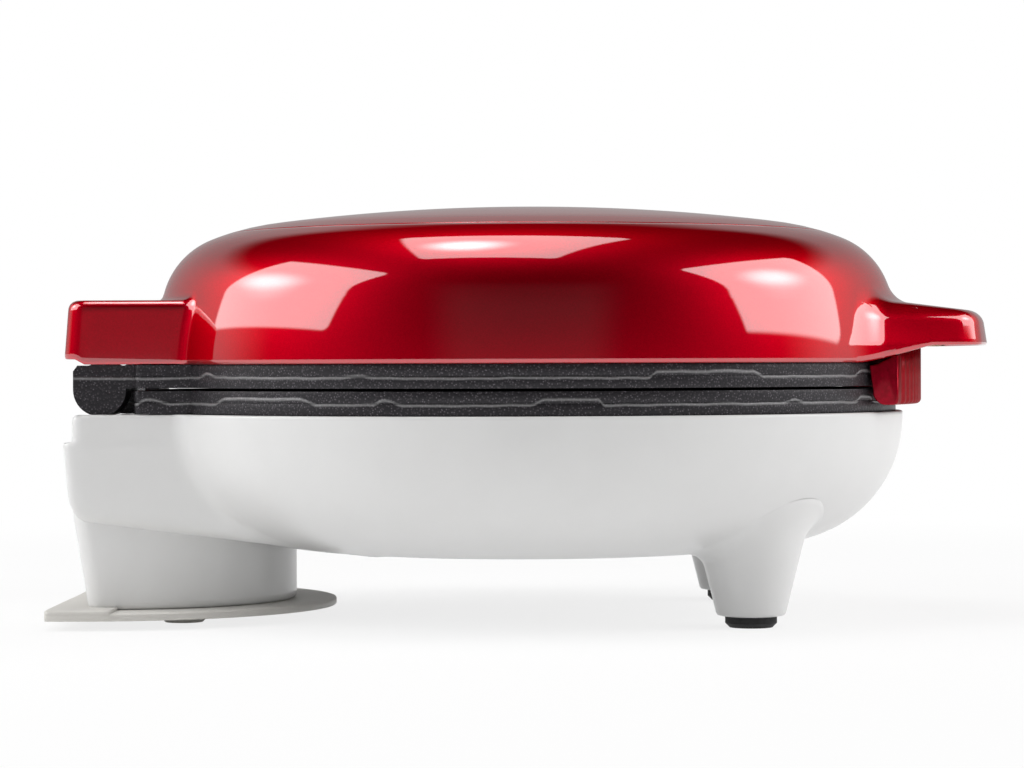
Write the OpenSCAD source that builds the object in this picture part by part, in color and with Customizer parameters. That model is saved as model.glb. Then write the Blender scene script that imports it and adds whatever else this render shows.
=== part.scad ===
// Table-top donut maker: two hinged, electrically heated mould plates in a moulded case.
// +X is the handle side, +Z is up, and the hinge axis runs along Y behind the plates.
// Heights are measured from the table, and plan positions from the centre of the round plates.

/* [Mould plates] */
// Radius of the round part of both plates
plate_r = 104.6; // [98:0.1:112]
// Height of each plate's rim
plate_rim_h = 6.2; // [5:0.1:9]
// Width of the raised rim, seen from above
plate_rim_w = 3.6; // [3:0.1:6]
// Gap between the two rims when the lid is down
plate_gap = 0.8; // [0.4:0.1:1.2]
// Height of the closed joint between the plates above the table
joint_z = 64.5; // [60:0.1:70]
// Depth of the baking face below the rim
bake_depth = 2.5; // [1.5:0.1:3.5]
// Thickness of the castings
cast_t = 2.5; // [2:0.1:3.5]
// How far the plates' straight rear end stands out past their round part
plate_tail_out = 1.3; // [1:0.1:3]
// Height of the locating skirt behind each rim
skirt_h = 4.5; // [3:0.1:6]
// Distance of that skirt inside the plate's outline
skirt_inset = 3.4; // [3:0.1:4]

/* [Donut cavities] */
// Radius of the circle along the middle of the dough ring
ring_r = 17; // [14:0.5:18]
// Depth of one half of the ring, which is its tube radius
tube_r = 11; // [9:0.25:12]
// Distance of the outer rings' middles inside the plates' edge
ring_in = 40.6; // [39:0.1:42]
// Number of rings around the middle one
ring_count = 6; // [4:1:6]

/* [Base housing] */
// How far the bowl's top edge stands out past the plates
base_out = 2; // [1:0.1:4]
// Height of the bowl's lowest point
bowl_z = 18.4; // [16:0.1:22]
// Radius of the bowl's turned-up shoulder
bowl_shoulder_r = 35; // [28:0.5:38]
// Radius of the gentle curve between shoulder and flat bottom
bowl_belly_r = 133; // [110:1:160]
// Wall thickness of both moulded housings
wall = 2.4; // [1.8:0.1:3]
// Shadow gap between housings and plates
seat_gap = 0.15; // [0.05:0.05:0.3]
// Width of the squared tail of base, plates and lid
tail_w = 105; // [98:0.5:110]
// Distance from the hinge axis to the upper rear wall
base_rear_out = 6.5; // [6.3:0.1:8.5]
// How far the lower rear panel stands out behind that wall
rear_panel_step = 3.5; // [2:0.1:5]
// Height of the ledge on top of the rear panel
ledge_z = 50.3; // [46:0.1:52]
// Height of the tail's lower rear edge
tail_low_z = 29; // [26:0.5:33]

/* [Pedestal and cord wrap] */
// Radius of the D-shaped pedestal
pedestal_r = 49; // [44:0.5:52]
// Length of the pedestal, from its foremost point to the upper rear wall
pedestal_len = 55.8; // [50:0.1:62]
// How far the pedestal's rear face stands in at its foot, from the upper rear wall
pedestal_rear_in = 3; // [1:0.1:5]
// Radius of the cord-wrap plate
wrap_r = 63.4; // [58:0.1:68]
// How far the wrap plate reaches in front of the pedestal
wrap_reach = 11.4; // [9:0.1:14]
// How far its straight rear edge stands out behind the upper rear wall
wrap_rear_out = 7; // [5:0.1:10]
// Thickness of the wrap plate
wrap_t = 3; // [2.4:0.1:4]
// Height of the rear foot pads
rear_pad_h = 2.6; // [2:0.1:4]

/* [Front legs] */
// Distance of the legs in front of the plate centre
leg_x = 60.7; // [55:0.1:64]
// Distance of the legs from the middle plane
leg_y = 52.9; // [46:0.1:56]
// Radius of a leg at its foot
leg_foot_r = 9.2; // [8.5:0.1:11]
// Angle at which the leg widens upward
leg_flare = 14; // [10:0.5:16]
// Height of the rubber pads under the legs
front_pad_h = 3; // [2:0.1:4]
// Radius of those pads
front_pad_r = 7; // [5:0.1:8]

/* [Lid] */
// How far the lid's lower edge stands out past the plates
lid_out = 1.4; // [1:0.1:3]
// Height of the dome above the lid's lower edge
dome_h = 44.2; // [42:0.1:50]
// Lean of the dome's side wall
lid_draft = 7.9; // [5:0.1:9]
// Radius of the dome's shoulder
lid_shoulder_r = 22; // [18:0.5:24]
// Radius of the curve between shoulder and crown
haunch_r = 68; // [58:0.5:76]
// Distance of the crown's round cap inside the lid's lower edge
cap_in = 21; // [18:0.5:26]
// Thickness of that cap at its middle
cap_t = 2.4; // [1.5:0.1:3]
// Distance from the hinge axis to the lid's rear wall
lid_rear_out = 9.9; // [9.3:0.1:11.5]
// Height of the squared rear block above the lid's lower edge
block_h = 17.5; // [14:0.1:19]
// How much the block's rear edge is lifted to clear the base when open
rear_relief = 1.5; // [1:0.1:3]

/* [Handle and latch] */
// How far the handle reaches out from the lid's lower edge
handle_out = 24.2; // [22:0.1:30]
// Height of the handle's underside above the lid's lower edge
handle_low = 4.7; // [4:0.1:7]
// Height of the handle's top at its root above the lid's lower edge
handle_top = 16.7; // [15:0.1:19]
// Fall of the handle's top toward the tip
handle_fall = 7.5; // [5:0.5:10]
// Rounding of the handle's corners in plan
handle_corner_r = 12; // [8:0.5:16]
// Taper of the handle's sides
handle_taper = 20; // [16:0.5:24]
// How far the latch apron stands out past the lid's lower edge
latch_out = 5.7; // [5:0.1:7]
// Width across the latch
latch_w = 98.6; // [90:0.2:99]
// Height of the latch's lower edge
latch_z = 59.7; // [59.2:0.1:60.3]
// Distance of the latch pivot inside the lid's lower edge
latch_pivot_in = 2.5; // [1:0.1:3]
// Height of the latch pivot
latch_pivot_z = 79.5; // [79:0.1:80.5]
// Radius of the latch pins
latch_pin_r = 1.25; // [1:0.05:1.5]

/* [Hinge] */
// Distance from the rear end of the plates to the hinge axis
hinge_out = 9.6; // [9.1:0.1:10.6]
// Radius of the hinge knuckles
knuckle_r = 7.2; // [6:0.1:7.5]
// Radius of the hinge pins
hinge_pin_r = 2; // [1.5:0.1:3]
// Running clearance of all pins in their moving bores
pin_play = 0.06; // [0.02:0.01:0.1]

/* [Heating] */
// Radius of the heating ring
heater_r = 50; // [49:0.5:52]
// Radius of the heater's tube
heater_tube_r = 3.25; // [2.75:0.05:3.5]
// Sheet thickness of the reflectors
sheet_t = 0.6; // [0.4:0.1:1]
// Radius of the screws' shanks
screw_r = 1.75; // [1.4:0.05:2]
// How far the plate screws stand outside the circle of the rings
post_out = 4; // [3.5:0.1:4.5]
// Radius of the thermostat's body
thermostat_r = 8; // [6:0.5:9]

/* [Hidden] */
$fn = 96;

// Every outline is a distance from the plates, so that all of them follow the plates' size
plate_tail_x = plate_r + plate_tail_out;
hinge_x = plate_tail_x + hinge_out;
base_r = plate_r + base_out;
base_rear_x = hinge_x + base_rear_out;
pedestal_front_x = base_rear_x - pedestal_len;
pedestal_rear_x = base_rear_x - pedestal_rear_in;
wrap_rear_x = base_rear_x + wrap_rear_out;
lid_r = plate_r + lid_out;
lid_rear_x = hinge_x + lid_rear_out;
cap_r = lid_r - cap_in;
handle_r = lid_r + handle_out;
latch_r = lid_r + latch_out;
latch_pivot_x = lid_r - latch_pivot_in;
ring_pitch_r = plate_r - ring_in;
post_r = ring_pitch_r + post_out;

// The origin is under the middle of the whole object, so the plan is shifted by half the difference
shift_x = (wrap_rear_x - handle_r) / 2;

tail_half = tail_w / 2;
corner_r = 5;
fit = 0.05;
screw_play = 0.05;
head_r = 3.4;
head_h = 2.2;

// Plates: the lower one is drawn, and the upper one is its mirror image about the joint
plate_top_z = joint_z - plate_gap / 2;
plate_low_z = plate_top_z - plate_rim_h;
bake_z = plate_top_z - bake_depth;
web_z = bake_z - cast_t;
cavity_low_z = bake_z - tube_r - cast_t;
ring_step = 360 / ring_count;
ring_centres = concat([[0, 0]],
    [for (i = [0:ring_count - 1]) ring_pitch_r * [cos(ring_step * (i + 0.5)), sin(ring_step * (i + 0.5))]]);

// Heating: the tube is half sunk in a rib under the plate, and the reflector's floor holds it there
heater_z = cavity_low_z - heater_tube_r - fit;
reflector_z = heater_z - heater_tube_r - fit - sheet_t;
reflector_r = ring_pitch_r + ring_r + tube_r + cast_t + 1.8;
heater_gap_a = 12;
heater_end = heater_r * [cos(180 - heater_gap_a), sin(180 - heater_gap_a)];
heater_leg = 10;
heater_hole_r = heater_tube_r + 0.6;
boss_r = screw_r + 1.9;
boss_angles = [0, 120, 240];
post_radius = 6;
post_seat = 6;
well_r = head_r + 0.6;
head_z = reflector_z - fit - post_seat;
screw_bite = 12;
screw_tip_z = reflector_z + sheet_t + screw_bite;

// Base
base_top_z = plate_low_z - seat_gap;
bowl_draft = 3.1;
belly_slope = 13;
bowl_shoulder_z = bowl_z + bowl_belly_r - (bowl_belly_r - bowl_shoulder_r) * cos(belly_slope);
bowl_wall_z = bowl_shoulder_z - bowl_shoulder_r * sin(bowl_draft);
bowl_shoulder_c = [base_r - (base_top_z - bowl_wall_z) * tan(bowl_draft)
    - bowl_shoulder_r * cos(bowl_draft), bowl_shoulder_z];
bowl_belly_c = bowl_shoulder_c + (bowl_belly_r - bowl_shoulder_r) * [-sin(belly_slope), cos(belly_slope)];
panel_x = base_rear_x + rear_panel_step;
panel_lean = 5;
tail_front_x = 48;
tail_front_z = bowl_z + 1.2;
rear_wall_top_z = joint_z - knuckle_r - 0.7;
deck_z = rear_wall_top_z - 0.6;
wrap_z = rear_pad_h;
pedestal_z = wrap_z + wrap_t;
pedestal_x = pedestal_r + pedestal_front_x;
pedestal_top_x = panel_x - 1.5;
wrap_x = wrap_r + pedestal_front_x - wrap_reach;
wrap_boss_r = 4;
wrap_boss_h = 14;
wrap_screw_r = 1.45;
wrap_head_r = 3;
wrap_head_h = 1.6;
wrap_bosses = [[-pedestal_front_x - wall - wrap_boss_r + 0.6, 0],
    for (s = [-1, 1]) [-pedestal_x + 3, s * (pedestal_r - wall - wrap_boss_r + 0.5)]];
gland_a = 60;
gland_z = pedestal_z + 10.5;
gland_neck_r = 5;
gland_flange_r = 7;
gland_bore_r = 3.7;
leg_z = front_pad_h;
leg_floor = 2.5;
leg_h = 32;
stem_r = 2.5;
rear_pad_r = 6;
rear_pad_x = base_rear_x - 27;
rear_pad_y = 30;

// Lid
lid_z = 2 * joint_z - plate_low_z + seat_gap;
shoulder_slope = 22;
crown_slope = 7.5;
crown_rise = tan(crown_slope / 2);
haunch_run = lid_shoulder_r * sin(shoulder_slope) - haunch_r * (sin(shoulder_slope) - sin(crown_slope));
haunch_drop = haunch_r * (cos(crown_slope) - cos(shoulder_slope))
    + lid_shoulder_r * (cos(shoulder_slope) - sin(lid_draft));
shoulder_x = (lid_r - lid_shoulder_r * cos(lid_draft)
    - (dome_h - haunch_run * crown_rise - haunch_drop) * tan(lid_draft)) / (1 - crown_rise * tan(lid_draft));
crown_edge_r = shoulder_x + haunch_run;
crown_r = crown_edge_r / sin(crown_slope);
crown_c = [0, dome_h - crown_r];
haunch_c = crown_c + (crown_r - haunch_r) * [sin(crown_slope), cos(crown_slope)];
shoulder_c = haunch_c + (haunch_r - lid_shoulder_r) * [sin(shoulder_slope), cos(shoulder_slope)];
cap_gap = 0.15;
block_lean = 1.4;
block_round = 2.5;
blend_r = 8;

// Handle, drawn in lid heights
handle_slope = 0.35;
tip_round = 4;
root_round = 7;
handle_corner_a = 15.5;
handle_corner = (handle_r - handle_corner_r) * [cos(handle_corner_a), sin(handle_corner_a)];
handle_root_x = cap_r;
root_line_r = lid_r + 2;
lens_in = 14.2;
lens_x = handle_r - lens_in;
lens_y = 7.5;
lens_r = 2.5;
lens_flange_r = 3.8;
lens_skirt = 5;
lamp_r = 2.4;

// Latch
latch_half = latch_w / 2;
latch_wall = 2.4;
latch_inner_r = plate_r + 1;
latch_low_r = 6;
latch_edge_r = 2;
latch_top_gap = 0.8;
barrel_r = 3;
barrel_y = [34.2, 40.8];
rib_t = 2.4;
rib_gap = 0.2;
hook_w = 24;
hook_h = 1.6;
hook_z = latch_z + 0.8;
hook_gap = 0.3;
catch_depth = 2.4;
catch_play = 0.35;
flute_a = 3.4;
flute_count = 17;
flute_r = 0.8;

// Hinge
ear_y = [38, tail_half - wall - 0.2];
lug_y = [24, 37.6];
pin_head = 1.2;
pin_end_y = ear_y[1] - 2.6;

red = [0.72, 0.03, 0.06];
dark_red = [0.42, 0.03, 0.06];
white_plastic = [0.9, 0.9, 0.89];
ivory_plastic = [0.85, 0.83, 0.78];
cast_grey = [0.17, 0.16, 0.18];
rubber_black = [0.06, 0.06, 0.06];
steel = [0.72, 0.73, 0.75];
aluminised = [0.8, 0.81, 0.82];

// ---------- Curves ----------

// Points on an arc about c, from angle a0 to a1 in n steps
function arc(c, r, a0, a1, n) =
    [for (i = [0:n]) let (a = a0 + (a1 - a0) * i / n) c + r * [cos(a), sin(a)]];

// The same arc without its first point, to go on from an earlier stretch
function arc_on(c, r, a0, a1, n) =
    [for (i = [1:n]) let (a = a0 + (a1 - a0) * i / n) c + r * [cos(a), sin(a)]];

// A half outline that starts on the X axis, with its mirror image
function both_sides(half) =
    concat(half, [for (i = [len(half) - 1:-1:1]) [half[i].x, -half[i].y]]);

// Height of the bowl's outer surface over the belly
function belly_z(r) =
    bowl_belly_c.y - sqrt(bowl_belly_r * bowl_belly_r - (r - bowl_belly_c.x) * (r - bowl_belly_c.x));

// Height of the handle's top line above the lid's lower edge
function handle_top_at(r) = handle_top - (r - root_line_r) * tan(handle_fall);

// Height of the handle's underside above the lid's lower edge
function handle_low_at(r) = min(handle_low, max(0, (r - lid_r) * handle_slope));

// ---------- Shared shapes ----------

module placed() {
    translate([shift_x, 0, 0]) children();
}

// A tube between two radii
module ring(outer, inner, h) {
    difference() {
        cylinder(r = outer, h = h);
        translate([0, 0, -1]) cylinder(r = inner, h = h + 2);
    }
}

// A cylinder along Y from y0 to y1
module y_cylinder(r, y0, y1) {
    translate([0, y0, 0]) rotate([-90, 0, 0]) cylinder(r = r, h = y1 - y0);
}

// An XZ outline extruded across the middle plane
module across(half) {
    rotate([90, 0, 0]) linear_extrude(height = 2 * half, center = true) children();
}

// Plan of a squared tail with rounded rear corners
module tail_plan(rear, half, front, r) {
    translate([-rear + r, -half]) square([rear - front - r, 2 * half]);
    translate([-rear, -half + r]) square([r + 1, 2 * (half - r)]);
    for (s = [-1, 1]) translate([-rear + r, s * (half - r)]) circle(r = r);
}

// Plan of both plates, set in by the given distance
module plate_plan(inset) {
    circle(r = plate_r - inset);
    tail_plan(plate_tail_x - inset, tail_half - inset, 0, 2);
}

// What is drawn for the lower half, seen from the upper half
module mirrored_up() {
    translate([0, 0, 2 * joint_z]) mirror([0, 0, 1]) children();
}

module at_posts() {
    for (a = boss_angles) rotate([0, 0, a]) translate([post_r, 0, 0]) children();
}

// A self-tapping screw: its seat is at z = 0, its head below and its shank above
module screw(shank_r, length, hd_r, hd_h) {
    translate([0, 0, -hd_h]) difference() {
        cylinder(r = hd_r, h = hd_h);
        for (a = [0, 90]) rotate([0, 0, a])
            translate([-hd_r * 0.55, -0.4, -0.1]) cube([hd_r * 1.1, 0.8, hd_h * 0.5]);
    }
    cylinder(r = shank_r, h = length - shank_r);
    translate([0, 0, length - shank_r]) cylinder(r1 = shank_r, r2 = 0.5, h = shank_r);
}

// ---------- Mould plates ----------

module ring_tube(r) {
    rotate_extrude() translate([ring_r, 0]) circle(r = r);
}

// The outside of one cavity, under the plate
module cavity_shell() {
    intersection() {
        ring_tube(tube_r + cast_t);
        translate([0, 0, -tube_r - cast_t]) cylinder(r = ring_r + tube_r + cast_t, h = tube_r + cast_t);
    }
}

module heater_rib() {
    rib_half = heater_tube_r + 1.8;
    difference() {
        translate([0, 0, heater_z]) ring(heater_r + rib_half, heater_r - rib_half, web_z - heater_z + 0.5);
        rotate_extrude() translate([heater_r, heater_z]) circle(r = heater_tube_r + fit);
        translate([-heater_r - 10, -heater_end.y - 5, heater_z - 1])
            cube([20, 2 * heater_end.y + 10, heater_tube_r * 2 + 4]);
    }
}

// One plate, without its hinge arms and catch
module plate_casting() {
    difference() {
        union() {
            translate([0, 0, plate_low_z]) linear_extrude(height = plate_rim_h) plate_plan(0);
            translate([0, 0, plate_low_z - skirt_h]) linear_extrude(height = skirt_h + 1) difference() {
                plate_plan(skirt_inset);
                plate_plan(skirt_inset + 2);
            }
            for (c = ring_centres) translate([c.x, c.y, bake_z]) cavity_shell();
            heater_rib();
            at_posts() translate([0, 0, reflector_z + sheet_t + fit])
                cylinder(r = boss_r, h = web_z - reflector_z);
            translate([0, 0, cavity_low_z]) cylinder(r = ring_r, h = web_z - cavity_low_z + 1);
        }
        translate([0, 0, bake_z]) cylinder(r = plate_r - plate_rim_w, h = bake_depth + 1);
        for (c = ring_centres) translate([c.x, c.y, bake_z]) ring_tube(tube_r);
        translate([0, 0, plate_low_z - skirt_h - 1]) difference() {
            linear_extrude(height = web_z - plate_low_z + skirt_h + 1) plate_plan(skirt_inset + 2);
            cylinder(r = reflector_r + 0.5, h = web_z);
        }
        translate([0, 0, plate_low_z - 1]) difference() {
            cylinder(r = reflector_r + 0.6, h = web_z - plate_low_z + 1);
            cavity_keep_out();
        }
        at_posts() translate([0, 0, reflector_z])
            cylinder(r = screw_r + screw_play, h = sheet_t + screw_bite + 1.4);
        for (s = [-1, 1]) translate([0, s * (thermostat_r + 3.6), cavity_low_z - 1])
            cylinder(r = 1.25, h = 3.4);
        // The parting line round the rim
        translate([0, 0, plate_low_z + plate_rim_h / 2 - 0.2]) linear_extrude(height = 0.4) difference() {
            plate_plan(-1);
            plate_plan(0.25);
        }
    }
}

// What stands under the web inside the reflector, and is kept when the underside is cut flat
module cavity_keep_out() {
    for (c = ring_centres) translate([c.x, c.y, -1]) cylinder(r = ring_r + tube_r + cast_t, h = 20);
    translate([0, 0, -1]) ring(heater_r + heater_tube_r + 1.8, heater_r - heater_tube_r - 1.8, 20);
    at_posts() translate([0, 0, -1]) cylinder(r = boss_r, h = 20);
}

module lower_plate() {
    color(cast_grey) placed() difference() {
        union() {
            plate_casting();
            for (s = [0, 1]) mirror([0, s, 0]) {
                translate([-hinge_x, 0, joint_z]) y_cylinder(knuckle_r, lug_y[0], lug_y[1]);
                translate([-hinge_x, lug_y[0], plate_low_z])
                    cube([hinge_x - plate_tail_x + 1, lug_y[1] - lug_y[0], plate_rim_h]);
            }
        }
        for (s = [0, 1]) mirror([0, s, 0]) translate([-hinge_x, 0, joint_z])
            y_cylinder(hinge_pin_r + 0.02, lug_y[0] - 1, lug_y[1] + 1);
        // The catch, a slot in the rim for the latch's hook
        intersection() {
            translate([0, -hook_w / 2 - 0.6, hook_z - catch_play])
                cube([plate_r + 2, hook_w + 1.2, hook_h + 2 * catch_play]);
            translate([0, 0, plate_low_z - 1]) ring(plate_r + 2, plate_r - catch_depth, plate_rim_h + 2);
        }
    }
}

module upper_plate() {
    color(cast_grey) placed() difference() {
        union() {
            mirrored_up() plate_casting();
            for (s = [0, 1]) mirror([0, s, 0]) {
                translate([-hinge_x, 0, joint_z]) y_cylinder(knuckle_r, ear_y[0], ear_y[1]);
                translate([-hinge_x, ear_y[0], 2 * joint_z - plate_top_z])
                    cube([hinge_x - plate_tail_x + 1, ear_y[1] - ear_y[0], plate_rim_h]);
                translate([-hinge_x, 0, joint_z]) rotate([90, 0, 0]) mirror([0, 0, 1])
                    translate([0, 0, ear_y[0]]) linear_extrude(height = ear_y[1] - ear_y[0])
                    polygon([[0, 0], [-knuckle_r, 0], [-knuckle_r, plate_rim_h - 1.2],
                        [-knuckle_r + 1.2, plate_rim_h + plate_gap / 2], [0, plate_rim_h + plate_gap / 2]]);
            }
        }
        for (s = [0, 1]) mirror([0, s, 0]) translate([-hinge_x, 0, joint_z])
            y_cylinder(hinge_pin_r + pin_play, ear_y[0] - 1, pin_end_y + 0.2);
    }
}

// ---------- Heating ----------

module heater() {
    rotate([0, 0, -180 + heater_gap_a]) rotate_extrude(angle = 360 - 2 * heater_gap_a)
        translate([heater_r, heater_z]) circle(r = heater_tube_r);
    for (s = [-1, 1]) translate([heater_end.x, s * heater_end.y, heater_z]) {
        translate([0, 0, -heater_leg]) cylinder(r = heater_tube_r - 0.25, h = heater_leg + 1);
        translate([0, 0, -heater_leg - 5]) cylinder(r = 1.2, h = 6);
        translate([-0.4, -3.15, -heater_leg - 11]) cube([0.8, 6.3, 7]);
    }
}

module reflector() {
    difference() {
        translate([0, 0, reflector_z]) cylinder(r = reflector_r, h = web_z - fit - reflector_z);
        translate([0, 0, reflector_z + sheet_t]) cylinder(r = reflector_r - sheet_t, h = web_z);
        at_posts() translate([0, 0, reflector_z - 1]) cylinder(r = screw_r + 0.5, h = 3);
        translate([0, 0, reflector_z - 1]) cylinder(r = thermostat_r + 6.5, h = 3);
        for (s = [-1, 1]) translate([heater_end.x, s * heater_end.y, reflector_z - 1])
            cylinder(r = heater_hole_r, h = 3);
    }
}

module plate_screws() {
    at_posts() translate([0, 0, head_z])
        screw(screw_r, screw_tip_z - head_z, head_r, head_h);
}

module lower_heater() {
    color(steel) placed() heater();
}

module upper_heater() {
    color(steel) placed() mirrored_up() heater();
}

module lower_reflector() {
    color(aluminised) placed() reflector();
}

module upper_reflector() {
    color(aluminised) placed() mirrored_up() reflector();
}

module lower_plate_screws() {
    color(steel) placed() plate_screws();
}

module upper_plate_screws() {
    color(steel) placed() mirrored_up() plate_screws();
}

// A bimetal thermostat under the middle cavity, on a flange with two ears
module thermostat() {
    flange_z = cavity_low_z - fit - 0.8;
    color(aluminised) placed() {
        difference() {
            union() {
                translate([0, 0, flange_z]) cylinder(r = thermostat_r, h = 0.8);
                translate([-3, -thermostat_r - 6, flange_z]) cube([6, 2 * thermostat_r + 12, 0.8]);
            }
            for (s = [-1, 1]) translate([0, s * (thermostat_r + 3.6), flange_z - 1])
                cylinder(r = 1.4, h = 3);
        }
        translate([0, 0, flange_z - 6.5]) cylinder(r = thermostat_r - 0.5, h = 6.7);
        for (s = [-1, 1]) translate([s * 4 - 0.4, -3.15, flange_z - 11]) cube([0.8, 6.3, 5]);
    }
}

module thermostat_screws() {
    color(steel) placed() for (s = [-1, 1])
        translate([0, s * (thermostat_r + 3.6), cavity_low_z - fit - 0.8 - fit]) screw(1.2, 3.1, 2.2, 1.4);
}

// A cylindrical fuse in a strap under the reflector
module thermal_fuse() {
    fuse_r = 2.1;
    fuse_x = 32;
    color(steel) placed() translate([fuse_x, 0, reflector_z - fit - fuse_r - 0.6]) {
        y_cylinder(fuse_r, -6, 6);
        y_cylinder(0.5, -12, 12);
        difference() {
            union() {
                y_cylinder(fuse_r + 0.55, -2.5, 2.5);
                translate([-7, -2.5, fuse_r]) cube([14, 5, 0.6]);
            }
            y_cylinder(fuse_r + fit, -3, 3);
            translate([-1.2, -3, -5]) cube([2.4, 6, 4]);
        }
    }
}

// A ceramic block with three screw wells, on the floor of the bowl
module terminal_block() {
    block = [24, 16, 12];
    rear = 38;
    color(ivory_plastic) placed() translate([-rear, -block.y / 2, bowl_z + wall + fit]) difference() {
        cube(block);
        for (i = [0:2]) translate([block.x * (i + 0.5) / 3, block.y / 2, 0]) {
            translate([0, 0, 4]) cylinder(r = 2.2, h = block.z);
            translate([0, -block.y, 6.5]) rotate([-90, 0, 0]) cylinder(r = 1.6, h = 2 * block.y);
        }
        for (i = [1:2]) translate([block.x * i / 3 - 0.5, -1, 8]) cube([1, block.y + 2, 5]);
    }
}

// ---------- Hinge ----------

module hinge_pins() {
    color(steel) placed() for (s = [0, 1]) mirror([0, s, 0]) translate([-hinge_x, 0, joint_z]) {
        y_cylinder(hinge_pin_r, lug_y[0] - 0.5, pin_end_y);
        y_cylinder(hinge_pin_r * 1.7, lug_y[0] - 0.1 - pin_head, lug_y[0] - 0.1);
    }
}

// ---------- Base ----------

// The round bowl, set in by the given thickness; the inner one runs out through the top
module bowl(inset) {
    rise = inset > 0 ? 20 : 0;
    rim = base_r - inset / cos(bowl_draft);
    rotate_extrude() polygon(concat(
        [[0, bowl_z + inset]],
        arc(bowl_belly_c, bowl_belly_r - inset, -90, -90 + belly_slope, 4),
        arc_on(bowl_shoulder_c, bowl_shoulder_r - inset, -90 + belly_slope, -bowl_draft, 12),
        [[rim, base_top_z], [rim, base_top_z + rise], [0, base_top_z + rise]]));
}

// The squared tail: an upper wall that clears the open lid, and a panel that stands out below it
module tail(inset) {
    rise = inset > 0 ? 20 : 0;
    intersection() {
        union() {
            linear_extrude(height = base_top_z + rise)
                tail_plan(base_rear_x - inset, tail_half - inset, 0, corner_r - inset);
            if (inset == 0) linear_extrude(height = ledge_z)
                tail_plan(panel_x, tail_half, 0, corner_r);
        }
        across(tail_half + 5) polygon([
            [-tail_front_x, base_top_z + 30], [-panel_x - 1, base_top_z + 30], [-panel_x - 1, ledge_z],
            [-panel_x + inset, ledge_z], [-panel_x + tan(panel_lean) * (ledge_z - tail_low_z) + inset,
            tail_low_z + inset], [-tail_front_x, tail_front_z + inset]]);
    }
}

// The D-shaped pedestal that the cord is wound round; its rear face leans in toward the foot
module pedestal(inset) {
    low = inset > 0 ? pedestal_z - 1 : pedestal_z;
    high = tail_low_z + 4;
    half = pedestal_r - inset;
    translate([0, 0, low]) intersection() {
        linear_extrude(height = high - low) intersection() {
            tail_plan(panel_x - inset, half, 0, corner_r - inset / 2);
            union() {
                translate([-pedestal_x, 0]) circle(r = half);
                translate([-pedestal_x - 20, -half]) square([20, 2 * half]);
            }
        }
        translate([0, 0, -low]) across(pedestal_r + 5) polygon([
            [-pedestal_front_x + 5, high + 1], [-pedestal_top_x + inset, high + 1],
            [-pedestal_rear_x + inset, low - 1], [-pedestal_front_x + 5, low - 1]]);
    }
}

module legs(inset) {
    low = inset > 0 ? leg_z + leg_floor : leg_z;
    r_low = leg_foot_r + (low - leg_z) * tan(leg_flare) - inset;
    for (s = [-1, 1]) translate([leg_x, s * leg_y, low])
        cylinder(r1 = r_low, r2 = r_low + leg_h * tan(leg_flare), h = leg_h);
}

module lower_housing() {
    post_z = belly_z(post_r + post_radius) + 0.3;
    color(white_plastic) placed() difference() {
        union() {
            difference() {
                union() {
                    bowl(0);
                    tail(0);
                    pedestal(0);
                    legs(0);
                }
                bowl(wall);
                tail(wall);
                pedestal(wall);
                legs(wall);
            }
            at_posts() translate([0, 0, post_z]) cylinder(r = post_radius, h = reflector_z - fit - post_z);
            for (b = wrap_bosses) translate([b.x, b.y, pedestal_z + fit])
                cylinder(r = wrap_boss_r, h = wrap_boss_h);
            // The deck that closes the tail behind the plates
            translate([-base_rear_x + wall - 0.5, -tail_half + wall - 0.5, deck_z - wall])
                cube([base_rear_x - wall - plate_tail_x - 0.5, tail_w - 2 * wall + 1, wall]);
        }
        at_posts() {
            translate([0, 0, -1]) cylinder(r = well_r, h = head_z + 1);
            cylinder(r = screw_r + 0.3, h = reflector_z + 1);
        }
        for (b = wrap_bosses) translate([b.x, b.y, pedestal_z - 1])
            cylinder(r = wrap_screw_r + screw_play, h = wrap_boss_h - 1);
        translate([-pedestal_x, 0, gland_z]) rotate([0, 0, gland_a]) rotate([0, 90, 0])
            cylinder(r = gland_neck_r + fit, h = pedestal_r + 5);
        for (s = [-1, 1]) translate([leg_x, s * leg_y, leg_z - 1])
            cylinder(r = stem_r + fit, h = leg_floor + 2);
        // The rear wall is lower between the side walls, where the open lid's hinge arms swing
        translate([-base_rear_x - 1, -tail_half + wall, rear_wall_top_z])
            cube([wall + 3, tail_w - 2 * wall, 10]);
    }
}

module cord_wrap_plate() {
    color(ivory_plastic) placed() difference() {
        translate([0, 0, wrap_z]) linear_extrude(height = wrap_t - fit) intersection() {
            union() {
                translate([-wrap_x, 0]) circle(r = wrap_r);
                translate([-wrap_x - 30, -wrap_r]) square([30, 2 * wrap_r]);
            }
            tail_plan(wrap_rear_x, wrap_r, 0, 4);
        }
        for (b = wrap_bosses) translate([b.x, b.y, wrap_z - 1]) {
            cylinder(r = wrap_screw_r + 0.3, h = wrap_t + 2);
            cylinder(r = wrap_head_r + 0.3, h = 1 + wrap_head_h);
        }
    }
}

module wrap_plate_screws() {
    color(steel) placed() for (b = wrap_bosses) translate([b.x, b.y, wrap_z + wrap_head_h - fit])
        screw(wrap_screw_r, wrap_boss_h - 3, wrap_head_r, wrap_head_h - 2 * fit);
}

// Rubber feet with a stem pressed through the floor of each leg
module front_foot_pads() {
    color(rubber_black) placed() for (s = [-1, 1]) translate([leg_x, s * leg_y, 0]) {
        rotate_extrude() polygon([[0, 0], [front_pad_r - 1.2, 0], [front_pad_r, 1.2],
            [front_pad_r, front_pad_h - fit], [stem_r, front_pad_h - fit], [stem_r, leg_z + leg_floor + fit],
            [stem_r + 0.8, leg_z + leg_floor + fit], [stem_r - 0.8, leg_z + leg_floor + 3],
            [0, leg_z + leg_floor + 3]]);
    }
}

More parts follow.
